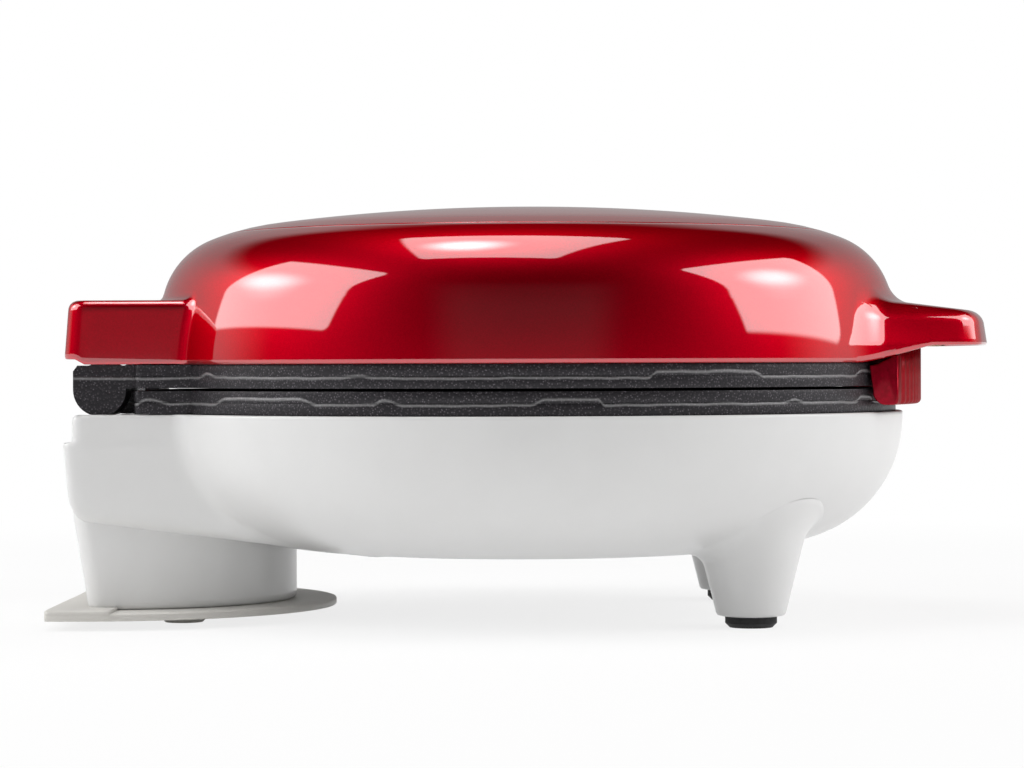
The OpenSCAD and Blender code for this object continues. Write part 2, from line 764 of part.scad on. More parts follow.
module rear_foot_pads() {
    color(rubber_black) placed() for (s = [-1, 1]) translate([-rear_pad_x, s * rear_pad_y, 0])
        rotate_extrude() polygon([[0, 0], [rear_pad_r - 0.8, 0], [rear_pad_r, 0.8],
            [rear_pad_r, rear_pad_h - fit], [0, rear_pad_h - fit]]);
}

// A rubber bush in the pedestal's wall, open for a cord
module cord_gland() {
    inner = pedestal_r - wall - 0.5;
    outer = pedestal_r + fit;
    color(rubber_black) placed() translate([-pedestal_x, 0, gland_z]) rotate([0, 0, gland_a])
        rotate([0, 90, 0]) rotate_extrude() polygon([[gland_bore_r, inner - 1.5],
            [gland_neck_r + 1.2, inner - 1.5], [gland_neck_r + 1.2, inner], [gland_neck_r, inner],
            [gland_neck_r, outer], [gland_flange_r, outer], [gland_flange_r - 0.6, outer + 1.6],
            [gland_bore_r, outer + 1.6]]);
}

// ---------- Lid ----------

// The dome in lid heights, set in by the given thickness
module dome(inset) {
    rotate_extrude() polygon(concat(
        [[0, 0], [lid_r - inset / cos(lid_draft), 0]],
        arc(shoulder_c, lid_shoulder_r - inset, lid_draft, 90 - shoulder_slope, 10),
        arc_on(haunch_c, haunch_r - inset, 90 - shoulder_slope, 90 - crown_slope, 3),
        arc_on(crown_c, crown_r - inset, 90 - crown_slope, 90, 5)));
}

// Everything over the crown curve that lies the given depth under the surface, out to radius r
module crown_over(depth, r) {
    edge = crown_r - depth;
    side = acos(r / edge);
    rotate_extrude() polygon(concat(
        arc(crown_c, edge, side, 90, 5),
        [[0, dome_h + 5], [r, dome_h + 5]]));
}

// The squared rear block in lid heights
module lid_block(inset) {
    low = inset > 0 ? -1 : 0;
    top = block_h - inset;
    half = tail_half - inset;
    rear = lid_rear_x - inset;
    round = block_round - min(inset, block_round - 0.5);
    reach = tail_half + blend_r + 4;
    intersection() {
        translate([0, 0, low]) linear_extrude(height = block_h - low) {
            tail_plan(rear, half, 0, corner_r - inset);
            if (inset == 0) block_blends();
        }
        across(reach + 1) polygon(concat(
            [[0, low], [-rear + 5.7, low], [-rear + 3.6, low + rear_relief], [-rear, low + rear_relief]],
            arc([-rear + block_lean + round, top - round], round, 180, 90, 5),
            [[0, top]]));
        rotate([90, 0, 90]) translate([0, 0, -lid_rear_x - 5]) linear_extrude(height = lid_rear_x + 5)
            polygon(concat(
                [[-reach, low - 1], [reach, low - 1], [reach, top - round], [half, top - round]],
                arc_on([half - round, top - round], round, 0, 90, 4),
                arc([round - half, top - round], round, 90, 180, 4),
                [[-reach, top - round]]));
    }
}

// Vertical fillets where the block's sides run into the dome
module block_blends() {
    reach = lid_r - 1.2 + blend_r;
    centre_y = tail_half + blend_r;
    centre_x = sqrt(reach * reach - centre_y * centre_y);
    for (s = [-1, 1]) difference() {
        polygon([[-centre_x, s * centre_y], [-centre_x, s * (tail_half - 1)], [-60, s * (tail_half - 1)],
            (lid_r - 3) / reach * [-centre_x, s * centre_y]]);
        translate([-centre_x, s * centre_y]) circle(r = blend_r);
    }
}

// Plan of the handle, set in by the given thickness
module handle_plan(inset) {
    r = handle_corner_r - inset;
    end = handle_corner + r * [sin(handle_taper), cos(handle_taper)];
    polygon(both_sides(concat(
        arc([0, 0], handle_r - inset, 0, handle_corner_a, 4),
        arc_on(handle_corner, r, handle_corner_a, 90 - handle_taper, 6),
        [[handle_root_x, end.y + (end.x - handle_root_x) * tan(handle_taper)], [handle_root_x, 0]])));
}

// The handle is turned about the dome's axis, so that its top, tip and underside follow the dome
module handle_solid() {
    tip_top = handle_top_at(handle_r - tip_round);
    tip_c = [handle_r - 0.9 - tip_round, tip_top - tip_round];
    root_c = [root_line_r + root_round * sin(handle_fall), handle_top + root_round * cos(handle_fall)];
    flat_r = lid_r + handle_low / handle_slope;
    intersection() {
        linear_extrude(height = dome_h) handle_plan(0);
        rotate([0, 0, -40]) rotate_extrude(angle = 80) polygon(concat(
            [[lid_r - 12, 0], [lid_r, 0], [flat_r, handle_low], [handle_r, handle_low]],
            arc(tip_c, tip_round, 0, 90 - handle_fall, 5),
            arc(root_c, root_round, 270 - handle_fall, 190, 5),
            [[lid_r - 12, root_c.y - root_round * sin(10)]]));
    }
}

// The hollow under the handle's top, open downward
module handle_hollow() {
    top_in = wall / cos(handle_fall);
    intersection() {
        translate([0, 0, -1]) linear_extrude(height = dome_h) handle_plan(wall);
        rotate([0, 0, -40]) rotate_extrude(angle = 80) polygon([[lid_r - 12, -1], [handle_r, -1],
            [handle_r, handle_top_at(handle_r) - top_in], [lid_r - 12, handle_top_at(lid_r - 12) - top_in]]);
    }
}

// The ribs that carry the latch pins, under the handle's top
module latch_ribs() {
    low = latch_pivot_z - lid_z - barrel_r;
    for (s = [0, 1]) mirror([0, s, 0]) for (y = [barrel_y[0] - rib_gap - rib_t, barrel_y[1] + rib_gap])
        intersection() {
            translate([latch_pivot_x - 3.2, y, low]) cube([6.4, rib_t, 20]);
            handle_solid();
        }
}

module lid_shell() {
    deck = cap_t + wall;
    color(red) placed() difference() {
        translate([0, 0, lid_z]) union() {
            difference() {
                union() {
                    dome(0);
                    lid_block(0);
                    handle_solid();
                }
                difference() {
                    translate([0, 0, -0.01]) union() {
                        dome(wall);
                        lid_block(wall);
                    }
                    crown_over(deck, cap_r + wall);
                }
                difference() {
                    handle_hollow();
                    dome(0);
                }
            }
            latch_ribs();
            at_posts() {
                low = 2 * joint_z - reflector_z + fit - lid_z;
                translate([0, 0, low]) cylinder(r = post_radius, h = dome_h - deck - low - 4);
            }
        }
        translate([0, 0, lid_z]) crown_over(cap_t, cap_r + cap_gap);
        mirrored_up() at_posts() {
            translate([0, 0, -20]) cylinder(r = well_r, h = head_z + 20);
            cylinder(r = screw_r + 0.3, h = reflector_z + 1);
        }
        for (s = [0, 1]) mirror([0, s, 0]) translate([latch_pivot_x, 0, latch_pivot_z])
            y_cylinder(latch_pin_r + 0.02, barrel_y[0] - rib_gap - rib_t - 1,
                barrel_y[1] + rib_gap + rib_t - 0.6);
        for (s = [-1, 1]) translate([lens_x, s * lens_y, lid_z]) cylinder(r = lens_r + fit, h = dome_h);
    }
}

// The round cap on the crown, which hides the screws
module lid_cap() {
    color(red) placed() translate([0, 0, lid_z]) intersection() {
        dome(0);
        crown_over(cap_t - fit, cap_r - fit);
    }
}

module lamp_lens(side) {
    translate([0, 0, lid_z]) {
        intersection() {
            translate([lens_x, side * lens_y, handle_low]) cylinder(r = lens_r, h = 40);
            handle_solid();
        }
        intersection() {
            translate([lens_x, side * lens_y, handle_top_at(lens_x) - wall - lens_skirt])
                ring(lens_flange_r, lamp_r + 0.1, lens_skirt - 0.8);
            handle_hollow();
        }
        intersection() {
            translate([lens_x, side * lens_y, handle_top_at(lens_x) - wall - 1.2])
                cylinder(r = lens_flange_r, h = 4);
            translate([0, 0, -fit]) handle_hollow();
        }
    }
}

module power_lamp_lens() {
    color([0.8, 0.1, 0.08, 0.8]) placed() difference() {
        lamp_lens(-1);
        lamp_seat(-1);
    }
}

module ready_lamp_lens() {
    color([0.1, 0.65, 0.25, 0.8]) placed() difference() {
        lamp_lens(1);
        lamp_seat(1);
    }
}

// The well in a lens that its lamp sits in
module lamp_seat(side) {
    translate([lens_x, side * lens_y, lid_z])
        cylinder(r = lamp_r + 0.1, h = handle_top_at(lens_x) - wall - 1.2);
}

module indicator_lamps() {
    top = handle_top_at(lens_x) - wall - 1.2 - fit;
    color([0.95, 0.8, 0.6, 0.8]) placed() for (s = [-1, 1])
        translate([lens_x, s * lens_y, lid_z + top - 7.5]) {
            cylinder(r = lamp_r, h = 6);
            translate([0, 0, 6]) cylinder(r1 = lamp_r, r2 = 1, h = 1.5);
        }
}

// ---------- Latch ----------

module latch_pins() {
    color(steel) placed() for (s = [0, 1]) mirror([0, s, 0])
        translate([latch_pivot_x, 0, latch_pivot_z])
            y_cylinder(latch_pin_r, barrel_y[0] - rib_gap - rib_t + 0.1, barrel_y[1] + rib_gap + rib_t - 0.8);
}

// The fluted front wall, turned about the dome's axis
module latch_front() {
    inner = latch_r - latch_wall;
    top_in = lid_z + handle_low_at(inner) - latch_top_gap;
    top_out = lid_z + handle_low_at(latch_r) - latch_top_gap;
    difference() {
        intersection() {
            rotate([0, 0, -40]) rotate_extrude(angle = 80) polygon(concat(
                [[inner, top_in], [inner, latch_z + 0.4], [inner + 0.4, latch_z]],
                arc([latch_r - latch_edge_r, latch_z + latch_edge_r], latch_edge_r, 270, 360, 4),
                [[latch_r, top_out]]));
            translate([0, -latch_half, 0]) cube([latch_r + 5, latch_w, latch_pivot_z]);
        }
        for (i = [0:flute_count - 1]) rotate([0, 0, (i - (flute_count - 1) / 2) * flute_a])
            translate([latch_r + 0.35, 0, latch_z - 1]) cylinder(r = flute_r, h = 30);
    }
}

// A cheek at each end of the front wall, rounded where it passes the lower plate
module latch_cheeks() {
    top_in = lid_z + handle_low_at(latch_inner_r) - latch_top_gap;
    top_out = lid_z + handle_low_at(latch_r) - latch_top_gap;
    buried = 0.5;
    intersection() {
        rotate([0, 0, -40]) rotate_extrude(angle = 80) polygon(concat(
            [[latch_inner_r, top_in]],
            arc([latch_inner_r + latch_low_r, latch_z + latch_low_r], latch_low_r, 180, 265, 6),
            [[latch_r - buried, latch_z + buried], [latch_r - buried, top_out - 0.1]]));
        for (s = [-1, 1]) translate([0, s * (latch_half - latch_wall / 2) - latch_wall / 2, 0])
            cube([latch_r + 5, latch_wall, latch_pivot_z]);
    }
}

module latch() {
    arm_x = latch_pivot_x - 1.7;
    color(dark_red) placed() difference() {
        union() {
            latch_front();
            latch_cheeks();
            // The hook under the catch in the lower plate's rim
            intersection() {
                translate([0, -hook_w / 2, hook_z]) cube([latch_r - 1, hook_w, hook_h]);
                translate([0, 0, latch_z]) ring(latch_r - 1, plate_r + hook_gap, 10);
            }
            for (s = [0, 1]) mirror([0, s, 0]) {
                translate([arm_x, barrel_y[0], lid_z - 1.5])
                    cube([3.7, barrel_y[1] - barrel_y[0], latch_pivot_z - lid_z + 1.5]);
                translate([latch_pivot_x, 0, latch_pivot_z]) y_cylinder(barrel_r, barrel_y[0], barrel_y[1]);
            }
        }
        for (s = [0, 1]) mirror([0, s, 0]) translate([latch_pivot_x, 0, latch_pivot_z])
            y_cylinder(latch_pin_r + pin_play, barrel_y[0] - 1, barrel_y[1] + 1);
    }
}

lower_housing();
cord_wrap_plate();
wrap_plate_screws();
front_foot_pads();
rear_foot_pads();
cord_gland();
lower_plate();
lower_heater();
lower_reflector();
lower_plate_screws();
thermostat();
thermostat_screws();
thermal_fuse();
terminal_block();
hinge_pins();
lid_shell();
lid_cap();
upper_plate();
upper_heater();
upper_reflector();
upper_plate_screws();
power_lamp_lens();
ready_lamp_lens();
indicator_lamps();
latch_pins();
latch();
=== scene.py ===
# %% [markdown]
# # A table-top donut maker
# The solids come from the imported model, in metres, and everything made here stands in that same frame.
# +X is the handle side, +Z is up, and the camera looks along +Y at the long side of the appliance.

# %% Load the solids
import math

import bmesh
import bpy
import numpy as np
from mathutils import Matrix, Vector


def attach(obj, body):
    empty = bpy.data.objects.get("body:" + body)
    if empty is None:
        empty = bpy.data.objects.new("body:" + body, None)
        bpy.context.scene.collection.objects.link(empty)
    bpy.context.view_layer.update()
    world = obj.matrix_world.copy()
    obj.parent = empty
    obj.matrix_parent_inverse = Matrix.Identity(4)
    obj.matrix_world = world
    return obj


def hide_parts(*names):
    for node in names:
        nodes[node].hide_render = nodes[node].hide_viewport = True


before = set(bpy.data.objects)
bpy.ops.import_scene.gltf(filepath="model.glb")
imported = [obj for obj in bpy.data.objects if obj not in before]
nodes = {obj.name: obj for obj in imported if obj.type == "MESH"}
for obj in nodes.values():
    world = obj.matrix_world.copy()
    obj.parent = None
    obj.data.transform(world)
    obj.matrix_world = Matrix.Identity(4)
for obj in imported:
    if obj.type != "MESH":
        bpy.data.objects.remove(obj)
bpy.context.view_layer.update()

# %% [markdown]
# ## Where things are
# The plates, the bowl and the dome are all turned about one vertical axis, 0.6 mm behind the middle of the
# whole object. The shapes below are easier to describe from that axis and in millimetres, so one helper
# turns such places into metres, and another moves the points of a mesh to them.

# %% Helpers for places
AXIS_X = -0.6
LID_Z = 71.25


def to_frame(places):
    """Millimetres about the plates' axis to metres in the frame."""
    points = np.array(places, float)
    points[:, 0] += AXIS_X
    return points / 1000.0


def set_places(mesh, places):
    """Moves the points of a mesh to places in millimetres."""
    for vert, point in zip(mesh.verts, to_frame(places)):
        vert.co = point


print("the axis stands at x = %.4f m" % to_frame([(0.0, 0.0, 0.0)])[0][0])

# %% [markdown]
# ## Smooth moulded forms
# A moulded lid is a dome, a block and a handle that flow into each other through fillets. It could be cut
# and bevelled from solids, but the bevels would break where three forms meet. Such a form is easy to say as
# a distance: negative inside, zero on the skin, positive outside. Two distances are joined with a concave
# fillet, or cut by each other with a rounded edge, and a mesh whose points are moved to where the distance
# is zero takes that exact skin.

# %% Joining and cutting distances
SLOPE_STEP = 0.02
LONGEST_MOVE = 3.0
SETTLE_ROUNDS = 6
HALVINGS = 24


def fillet_join(a, b, radius):
    """Both shapes together, with a concave fillet where they meet."""
    u = np.maximum(radius - a, 0.0)
    v = np.maximum(radius - b, 0.0)
    return np.maximum(radius, np.minimum(a, b)) - np.hypot(u, v)


def rounded_cut(a, b, radius):
    """What both shapes share, with a rounded edge where they cross."""
    u = np.maximum(radius + a, 0.0)
    v = np.maximum(radius + b, 0.0)
    return np.minimum(-radius, np.maximum(a, b)) + np.hypot(u, v)


def smooth_rise(value, start, end):
    """Zero before start, one after end, and a soft rise between them."""
    share = np.clip((value - start) / (end - start), 0.0, 1.0)
    return share * share * (3.0 - 2.0 * share)


def box_plan(x, y, rear, half, corner):
    """Distance in plan from a block that ends at -rear and at +-half, with rounded corners."""
    along = -x - (rear - corner)
    across = np.abs(y) - (half - corner)
    plan = np.hypot(np.maximum(along, 0.0), np.maximum(across, 0.0))
    return plan + np.minimum(np.maximum(along, across), 0.0) - corner


print("two walls at 1 mm, 4 mm fillet: %.3f mm" % fillet_join(np.array(1.0), np.array(1.0), 4.0))

# %% [markdown]
# A point is brought onto the skin by going down the distance's own slope, a few times over. Where a place is
# wanted along a given line, halving the line again and again finds it.

# %% Finding the skin


def slope_of(distance, places):
    """The direction in which a distance grows fastest, as unit vectors."""
    grown = []
    for axis in range(3):
        shift = np.zeros(3)
        shift[axis] = SLOPE_STEP
        grown.append((distance(places + shift) - distance(places - shift)) / (2 * SLOPE_STEP))
    slopes = np.stack(grown, axis=1)
    return slopes / np.maximum(np.linalg.norm(slopes, axis=1, keepdims=True), 1e-6)


def settle(distance, places):
    """Moves places onto the skin of a shape."""
    moved = np.array(places, float)
    for _ in range(SETTLE_ROUNDS):
        gap = np.clip(distance(moved), -LONGEST_MOVE, LONGEST_MOVE)
        moved -= gap[:, None] * slope_of(distance, moved)
    return moved


def last_place(holds, near, far, count):
    """The farthest value between near and far where a test still holds, for each of count lines."""
    low = np.full(count, float(near))
    high = np.full(count, float(far))
    for _ in range(HALVINGS):
        middle = (low + high) / 2
        on = holds(middle)
        low = np.where(on, middle, low)
        high = np.where(on, high, middle)
    return (low + high) / 2


def along_rays(distance, starts, directions, near, far):
    """How far along each ray the skin lies."""
    def inside(reach):
        return distance(starts + directions * reach[:, None]) < 0

    return last_place(inside, near, far, len(starts))


def round_about(turns):
    """Level unit directions at the given angles."""
    return np.stack([np.cos(turns), np.sin(turns), np.zeros(len(turns))], axis=1)


print("precision over 100 mm: %.6f mm" % (100.0 / 2 ** HALVINGS))

# %% [markdown]
# ## The dome
# Seen from the side the lid's outline is four tangent curves: a flat crown, a rounder haunch, a tight
# shoulder and a side wall that is almost straight. Real moulds are drawn the same way, since tangent curves
# leave no break in a reflection. The radii and slopes are given, and the centres follow from them.

# %% The dome's outline
LID_R = 106.0
DOME_H = 44.2
SIDE_LEAN = math.radians(7.9)
WALL_R = 100.0
SHOULDER_R = 22.0
HAUNCH_R = 68.0
SHOULDER_SLOPE = math.radians(22)
CROWN_SLOPE = math.radians(7.5)
CAP_R = 85.0


def toward(slope):
    """A unit step out and up, at an angle from upright."""
    return np.array([math.sin(slope), math.cos(slope)])


crown_rise = math.tan(CROWN_SLOPE / 2)
haunch_run = (SHOULDER_R - HAUNCH_R) * math.sin(SHOULDER_SLOPE) + HAUNCH_R * math.sin(CROWN_SLOPE)
haunch_drop = HAUNCH_R * (math.cos(CROWN_SLOPE) - math.cos(SHOULDER_SLOPE))
haunch_drop += SHOULDER_R * (math.cos(SHOULDER_SLOPE) - math.sin(SIDE_LEAN))
shoulder_x = (LID_R - SHOULDER_R * math.cos(SIDE_LEAN)
              - (DOME_H - haunch_run * crown_rise - haunch_drop) * math.tan(SIDE_LEAN))
shoulder_x /= 1 - crown_rise * math.tan(SIDE_LEAN)
CROWN_R = (shoulder_x + haunch_run) / math.sin(CROWN_SLOPE)
crown_c = np.array([0.0, DOME_H - CROWN_R])
haunch_c = crown_c + (CROWN_R - HAUNCH_R) * toward(CROWN_SLOPE)
shoulder_c = haunch_c + (HAUNCH_R - SHOULDER_R) * toward(SHOULDER_SLOPE)

foot = np.array([LID_R, 0.0]) - shoulder_c
foot_far = float(np.linalg.norm(foot))
wall_share = WALL_R - SHOULDER_R
wall_turn = math.atan2(foot[1], foot[0])
wall_turn += math.acos((WALL_R ** 2 - wall_share ** 2 - foot_far ** 2) / (2 * wall_share * foot_far))
wall_c = shoulder_c - wall_share * toward(math.pi / 2 - wall_turn)
print("dome: crown radius %.1f mm, shoulder centre %s" % (CROWN_R, np.round(shoulder_c, 2)))

# %% [markdown]
# The distance from the dome is that of the curve in whose slice a place lies. The height of the surface is
# wanted too, for the cap that sits in the crown, and the wall's radius for the rows of the mesh.

# %% Distance from the dome


def arc(centre, radius, r, h):
    return np.hypot(r - centre[0], h - centre[1]) - radius


def over(centre, slope, r, h):
    """Whether a place lies in the slice above a slope, seen from the middle of a curve."""
    return np.arctan2(r - centre[0], h - centre[1]) < slope


def dome_distance(r, h):
    """Distance from the dome, at radius r and height h over the lid's lower edge."""
    lower = np.where(over(shoulder_c, math.pi / 2 - wall_turn, r, h),
                     arc(shoulder_c, SHOULDER_R, r, h), arc(wall_c, WALL_R, r, h))
    upper = np.where(over(haunch_c, SHOULDER_SLOPE, r, h), arc(haunch_c, HAUNCH_R, r, h), lower)
    return np.where(over(crown_c, CROWN_SLOPE, r, h), arc(crown_c, CROWN_R, r, h), upper)


def dome_height(r):
    """Height of the dome's surface over the lid's lower edge, inside its shoulder."""
    if r < CROWN_R * math.sin(CROWN_SLOPE):
        return crown_c[1] + math.sqrt(CROWN_R ** 2 - r ** 2)
    return haunch_c[1] + math.sqrt(HAUNCH_R ** 2 - (r - haunch_c[0]) ** 2)


def wall_radius(h):
    """Radius of the side wall at height h over the lid's lower edge."""
    return wall_c[0] + math.sqrt(WALL_R ** 2 - (h - wall_c[1]) ** 2)


print("dome: %.2f mm high at the cap's edge" % dome_height(CAP_R))

# %% [markdown]
# ## Block and handle
# The block over the hinge is a box with rounded corners whose sides run into the dome. It widens a little
# toward its foot, as a moulded wall must to leave its mould.

# %% Block
BLOCK_H = 17.5
TAIL_HALF = 52.5
LID_REAR = 125.4
BLOCK_CORNER = 5.0
BLOCK_EDGE = 2.5
BLOCK_DRAFT = 1.4
BLOCK_FRONT_X = -50.0


def block_distance(x, y, h):
    """Distance from the squared block over the hinge."""
    lean = BLOCK_DRAFT * np.clip(h / BLOCK_H, 0.0, 1.0)
    plan = np.maximum(box_plan(x, y, LID_REAR - lean, TAIL_HALF, BLOCK_CORNER), x - BLOCK_FRONT_X)
    return rounded_cut(plan, h - BLOCK_H, BLOCK_EDGE)


print("block: %.1f mm wide" % (2 * TAIL_HALF))

# %% [markdown]
# The handle is drawn in plan: an arc about the dome's axis for its tip, tapering sides, and a wide rounding
# between them. Its top falls toward the tip. Its walls lean in, more so where the handle leaves the dome, and
# every change of the lean is a soft rise, because a kink would show in the lacquer as a torn reflection.

# %% Handle
HANDLE_R = 130.2
HANDLE_TOP = 16.7
HANDLE_FALL = math.radians(7.5)
HANDLE_ROOT = 108.0
HANDLE_TAPER = 22.5
HANDLE_BACK_X = 85.0
CORNER_FAR = 118.2
CORNER_TURN = 15.5
CORNER_R = 12.0
HANDLE_LOW = 4.7
TIP_LEAN = 9.0
ROOT_LEAN = 21.0
LEAN_REACH = (104.0, 126.0)
SIDE_TURNS = (5.0, 18.0)
SIDE_LEAN_AT_TIP = 7.0
ROOT_EDGE = 5.5
TIP_EDGE = 3.0
corner_x, corner_y = CORNER_FAR * round_about(np.radians([CORNER_TURN]))[0, :2]


def handle_top_at(r):
    """Height of the handle's top over LID_Z."""
    return HANDLE_TOP - (r - HANDLE_ROOT) * math.tan(HANDLE_FALL)


def handle_lean(x, y, r):
    """How far the handle's wall leans from upright, as an angle."""
    side = ROOT_LEAN + (SIDE_LEAN_AT_TIP - ROOT_LEAN) * smooth_rise(r, *LEAN_REACH)
    to_side = smooth_rise(np.degrees(np.arctan2(y, x)), *SIDE_TURNS)
    return np.radians(TIP_LEAN + (side - TIP_LEAN) * to_side)


def handle_distance(x, y, h):
    """Distance from the solid handle, without its underside."""
    r = np.hypot(x, y)
    y = np.abs(y)
    leaning = handle_lean(x, y, r)
    lean = np.maximum(h - HANDLE_LOW, 0.0) * np.tan(leaning)
    out, across = toward(math.radians(HANDLE_TAPER))
    side = (y - corner_y) * across + (x - corner_x) * out - CORNER_R + lean
    corner = np.hypot(x - corner_x, y - corner_y) - CORNER_R + lean
    turn = np.degrees(np.arctan2(y - corner_y, x - corner_x))
    on_corner = (turn > CORNER_TURN) & (turn < 90.0 - HANDLE_TAPER)
    plan = np.where(on_corner, corner, np.maximum(r - HANDLE_R + lean, side)) * np.cos(leaning)
    top = (h - handle_top_at(r)) * math.cos(HANDLE_FALL)
    edge = np.interp(r, [LEAN_REACH[0], HANDLE_R], [ROOT_EDGE, TIP_EDGE])
    return rounded_cut(np.maximum(plan, HANDLE_BACK_X - x), top, edge)


print("handle: top %.1f mm over the lid's edge at its root, %.1f mm at its tip"
      % (handle_top_at(HANDLE_ROOT), handle_top_at(HANDLE_R)))

# %% [markdown]
# The whole lid joins the three. Its lower edge rises under the handle, for the fingers, and at the rear of
# the block, where the hinge needs room.

# %% The whole lid
BLOCK_FILLET = 2.2
HANDLE_FILLET = 4.5
LOW_EDGE = 0.7
UNDER_HANDLE = 0.35
REAR_LIFT = 1.5
REAR_LIFT_X = -119.7
REAR_LIFT_RUN = 2.1


def lid_low(x, y):
    """Height of the lid's lower edge over LID_Z."""
    handle = np.clip((np.hypot(x, y) - LID_R) * UNDER_HANDLE, 0.0, HANDLE_LOW) * (x > 0)
    rear = REAR_LIFT * np.clip((REAR_LIFT_X - x) / REAR_LIFT_RUN, 0.0, 1.0)
    return np.maximum(handle, rear)


def lid_distance(places):
    """Distance from the whole lid, as if it were solid."""
    x, y, h = places[:, 0], places[:, 1], places[:, 2] - LID_Z
    shape = fillet_join(dome_distance(np.hypot(x, y), h), block_distance(x, y, h), BLOCK_FILLET)
    shape = fillet_join(shape, handle_distance(x, y, h), HANDLE_FILLET)
    return rounded_cut(shape, lid_low(x, y) - h, LOW_EDGE)


print("lid: distance on the axis %.2f mm over the crown" % lid_distance(np.array([[0, 0, 120.0]]))[0])

# %% [markdown]
# ## The lid's skin
# A cylinder of quads is spun first, and each of its rows and columns then goes to its place on the lid: the
# lower rows climb the block, the handle or the plain side wall, and the upper rows go up the dome to the
# round cap. The columns crowd together at the corners, where the form turns quickest. Moving a tidy grid
# keeps every reflection clean, which a cut and joined mesh wouldn't.

# %% Columns
FINE_STEP = 0.05
COLUMN_STEP = 0.95
CROWDING = 3.2
SOFTENING = 41
HANDLE_CORNERS = (12.0, 33.0)
BLOCK_CORNERS = (18.0, 32.0)


def crowded_turns():
    """Angles about the axis, closer together where the block and the handle have their corners."""
    fine = np.arange(0.0, 360.0, FINE_STEP)
    from_handle = np.abs((fine + 180.0) % 360.0 - 180.0)
    from_block = np.abs(fine - 180.0)
    busy = (from_handle > HANDLE_CORNERS[0]) & (from_handle < HANDLE_CORNERS[1])
    busy |= (from_block > BLOCK_CORNERS[0]) & (from_block < BLOCK_CORNERS[1])
    density = np.where(busy, CROWDING, 1.0)
    half = SOFTENING // 2
    around = np.concatenate([density[-half:], density, density[:half]])
    density = np.convolve(around, np.ones(SOFTENING) / SOFTENING, "valid")
    total = np.cumsum(density)
    count = int(total[-1] * FINE_STEP / COLUMN_STEP)
    return np.radians(np.interp(np.arange(count) / count * total[-1], total, fine))


turns = crowded_turns()
print("columns:", len(turns))

# %% [markdown]
# Spin makes the grid of quads, so the script lists no faces itself: a line of points is spun once about
# the axis, and each point then goes to the place that its row and column have in the grid.

# %% From a grid to a mesh
SPUN_STEP = 0.01


def grid_to_mesh(grid):
    """A tube of quads whose rows and columns stand at the places of the grid."""
    rows, columns = grid.shape[:2]
    mesh = bmesh.new()
    line = [mesh.verts.new((1.0, 0.0, row * SPUN_STEP)) for row in range(rows)]
    edges = [mesh.edges.new(pair) for pair in zip(line, line[1:])]
    bmesh.ops.spin(mesh, geom=line + edges, cent=(0, 0, 0), axis=(0, 0, 1), angle=2 * math.pi,
                   steps=columns, use_merge=True)
    mesh.verts.ensure_lookup_table()
    row = [round(v.co.z / SPUN_STEP) for v in mesh.verts]
    column = [round(math.atan2(v.co.y, v.co.x) / (2 * math.pi) * columns) % columns for v in mesh.verts]
    set_places(mesh, grid[row, column])
    return mesh


def fill_rims(mesh, under=math.inf):
    """Closes the open rims of a mesh that lie under a height in metres."""
    rims = [e for e in mesh.edges if e.is_boundary and e.verts[0].co.z < under]
    bmesh.ops.holes_fill(mesh, edges=rims)


print("a grid of %d rows spans %.2f m before it is placed" % (10, 10 * SPUN_STEP))

# %% [markdown]
# A spun shape may come out with its faces inward, so they are turned outward before the shape becomes an
# object. A skin that stands for a moulding also gets the moulding's wall, on its inner side.

# %% From a mesh to an object
WALL = 0.0022


def linked(name, data):
    """A new object in the scene."""
    piece = bpy.data.objects.new(name, data)
    bpy.context.scene.collection.objects.link(piece)
    return piece


def finished(mesh, name, outward_from=None):
    """Makes an object of a bmesh, with its faces outward and smooth."""
    bmesh.ops.recalc_face_normals(mesh, faces=mesh.faces)
    if outward_from is not None:
        centre = Vector(outward_from)
        away = sum((f.calc_center_median() - centre).dot(f.normal) * f.calc_area() for f in mesh.faces)
        if away < 0:
            bmesh.ops.reverse_faces(mesh, faces=mesh.faces)
    for face in mesh.faces:
        face.smooth = True
    data = bpy.data.meshes.new(name)
    mesh.to_mesh(data)
    mesh.free()
    return linked(name, data)


def with_wall(piece):
    """Gives a skin its wall, inward, and keeps the result as its mesh."""
    wall = piece.modifiers.new("wall", "SOLIDIFY")
    wall.thickness = WALL
    wall.offset = -1.0
    wall.use_even_offset = False
    graph = bpy.context.evaluated_depsgraph_get()
    data = bpy.data.meshes.new_from_object(piece.evaluated_get(graph))
    piece.modifiers.clear()
    old = piece.data
    piece.data = data
    bpy.data.meshes.remove(old)
    return piece


print("the skins get a wall of %.1f mm" % (WALL * 1000))

# %% [markdown]
# The rows start under the lower edge and round it. Then they climb the band of block, handle and side wall,
# and cross the block's or the handle's top to the dome.

# %% Rows of the band
EDGE_ROWS = [(-0.75, 0.0), (-0.5, 0.05), (-0.26, 0.2), (-0.08, 0.45), (0.0, 0.8)]
BAND_ROWS = 38
OUTLINE_H = 7.0
BAND_TOP = 19.0


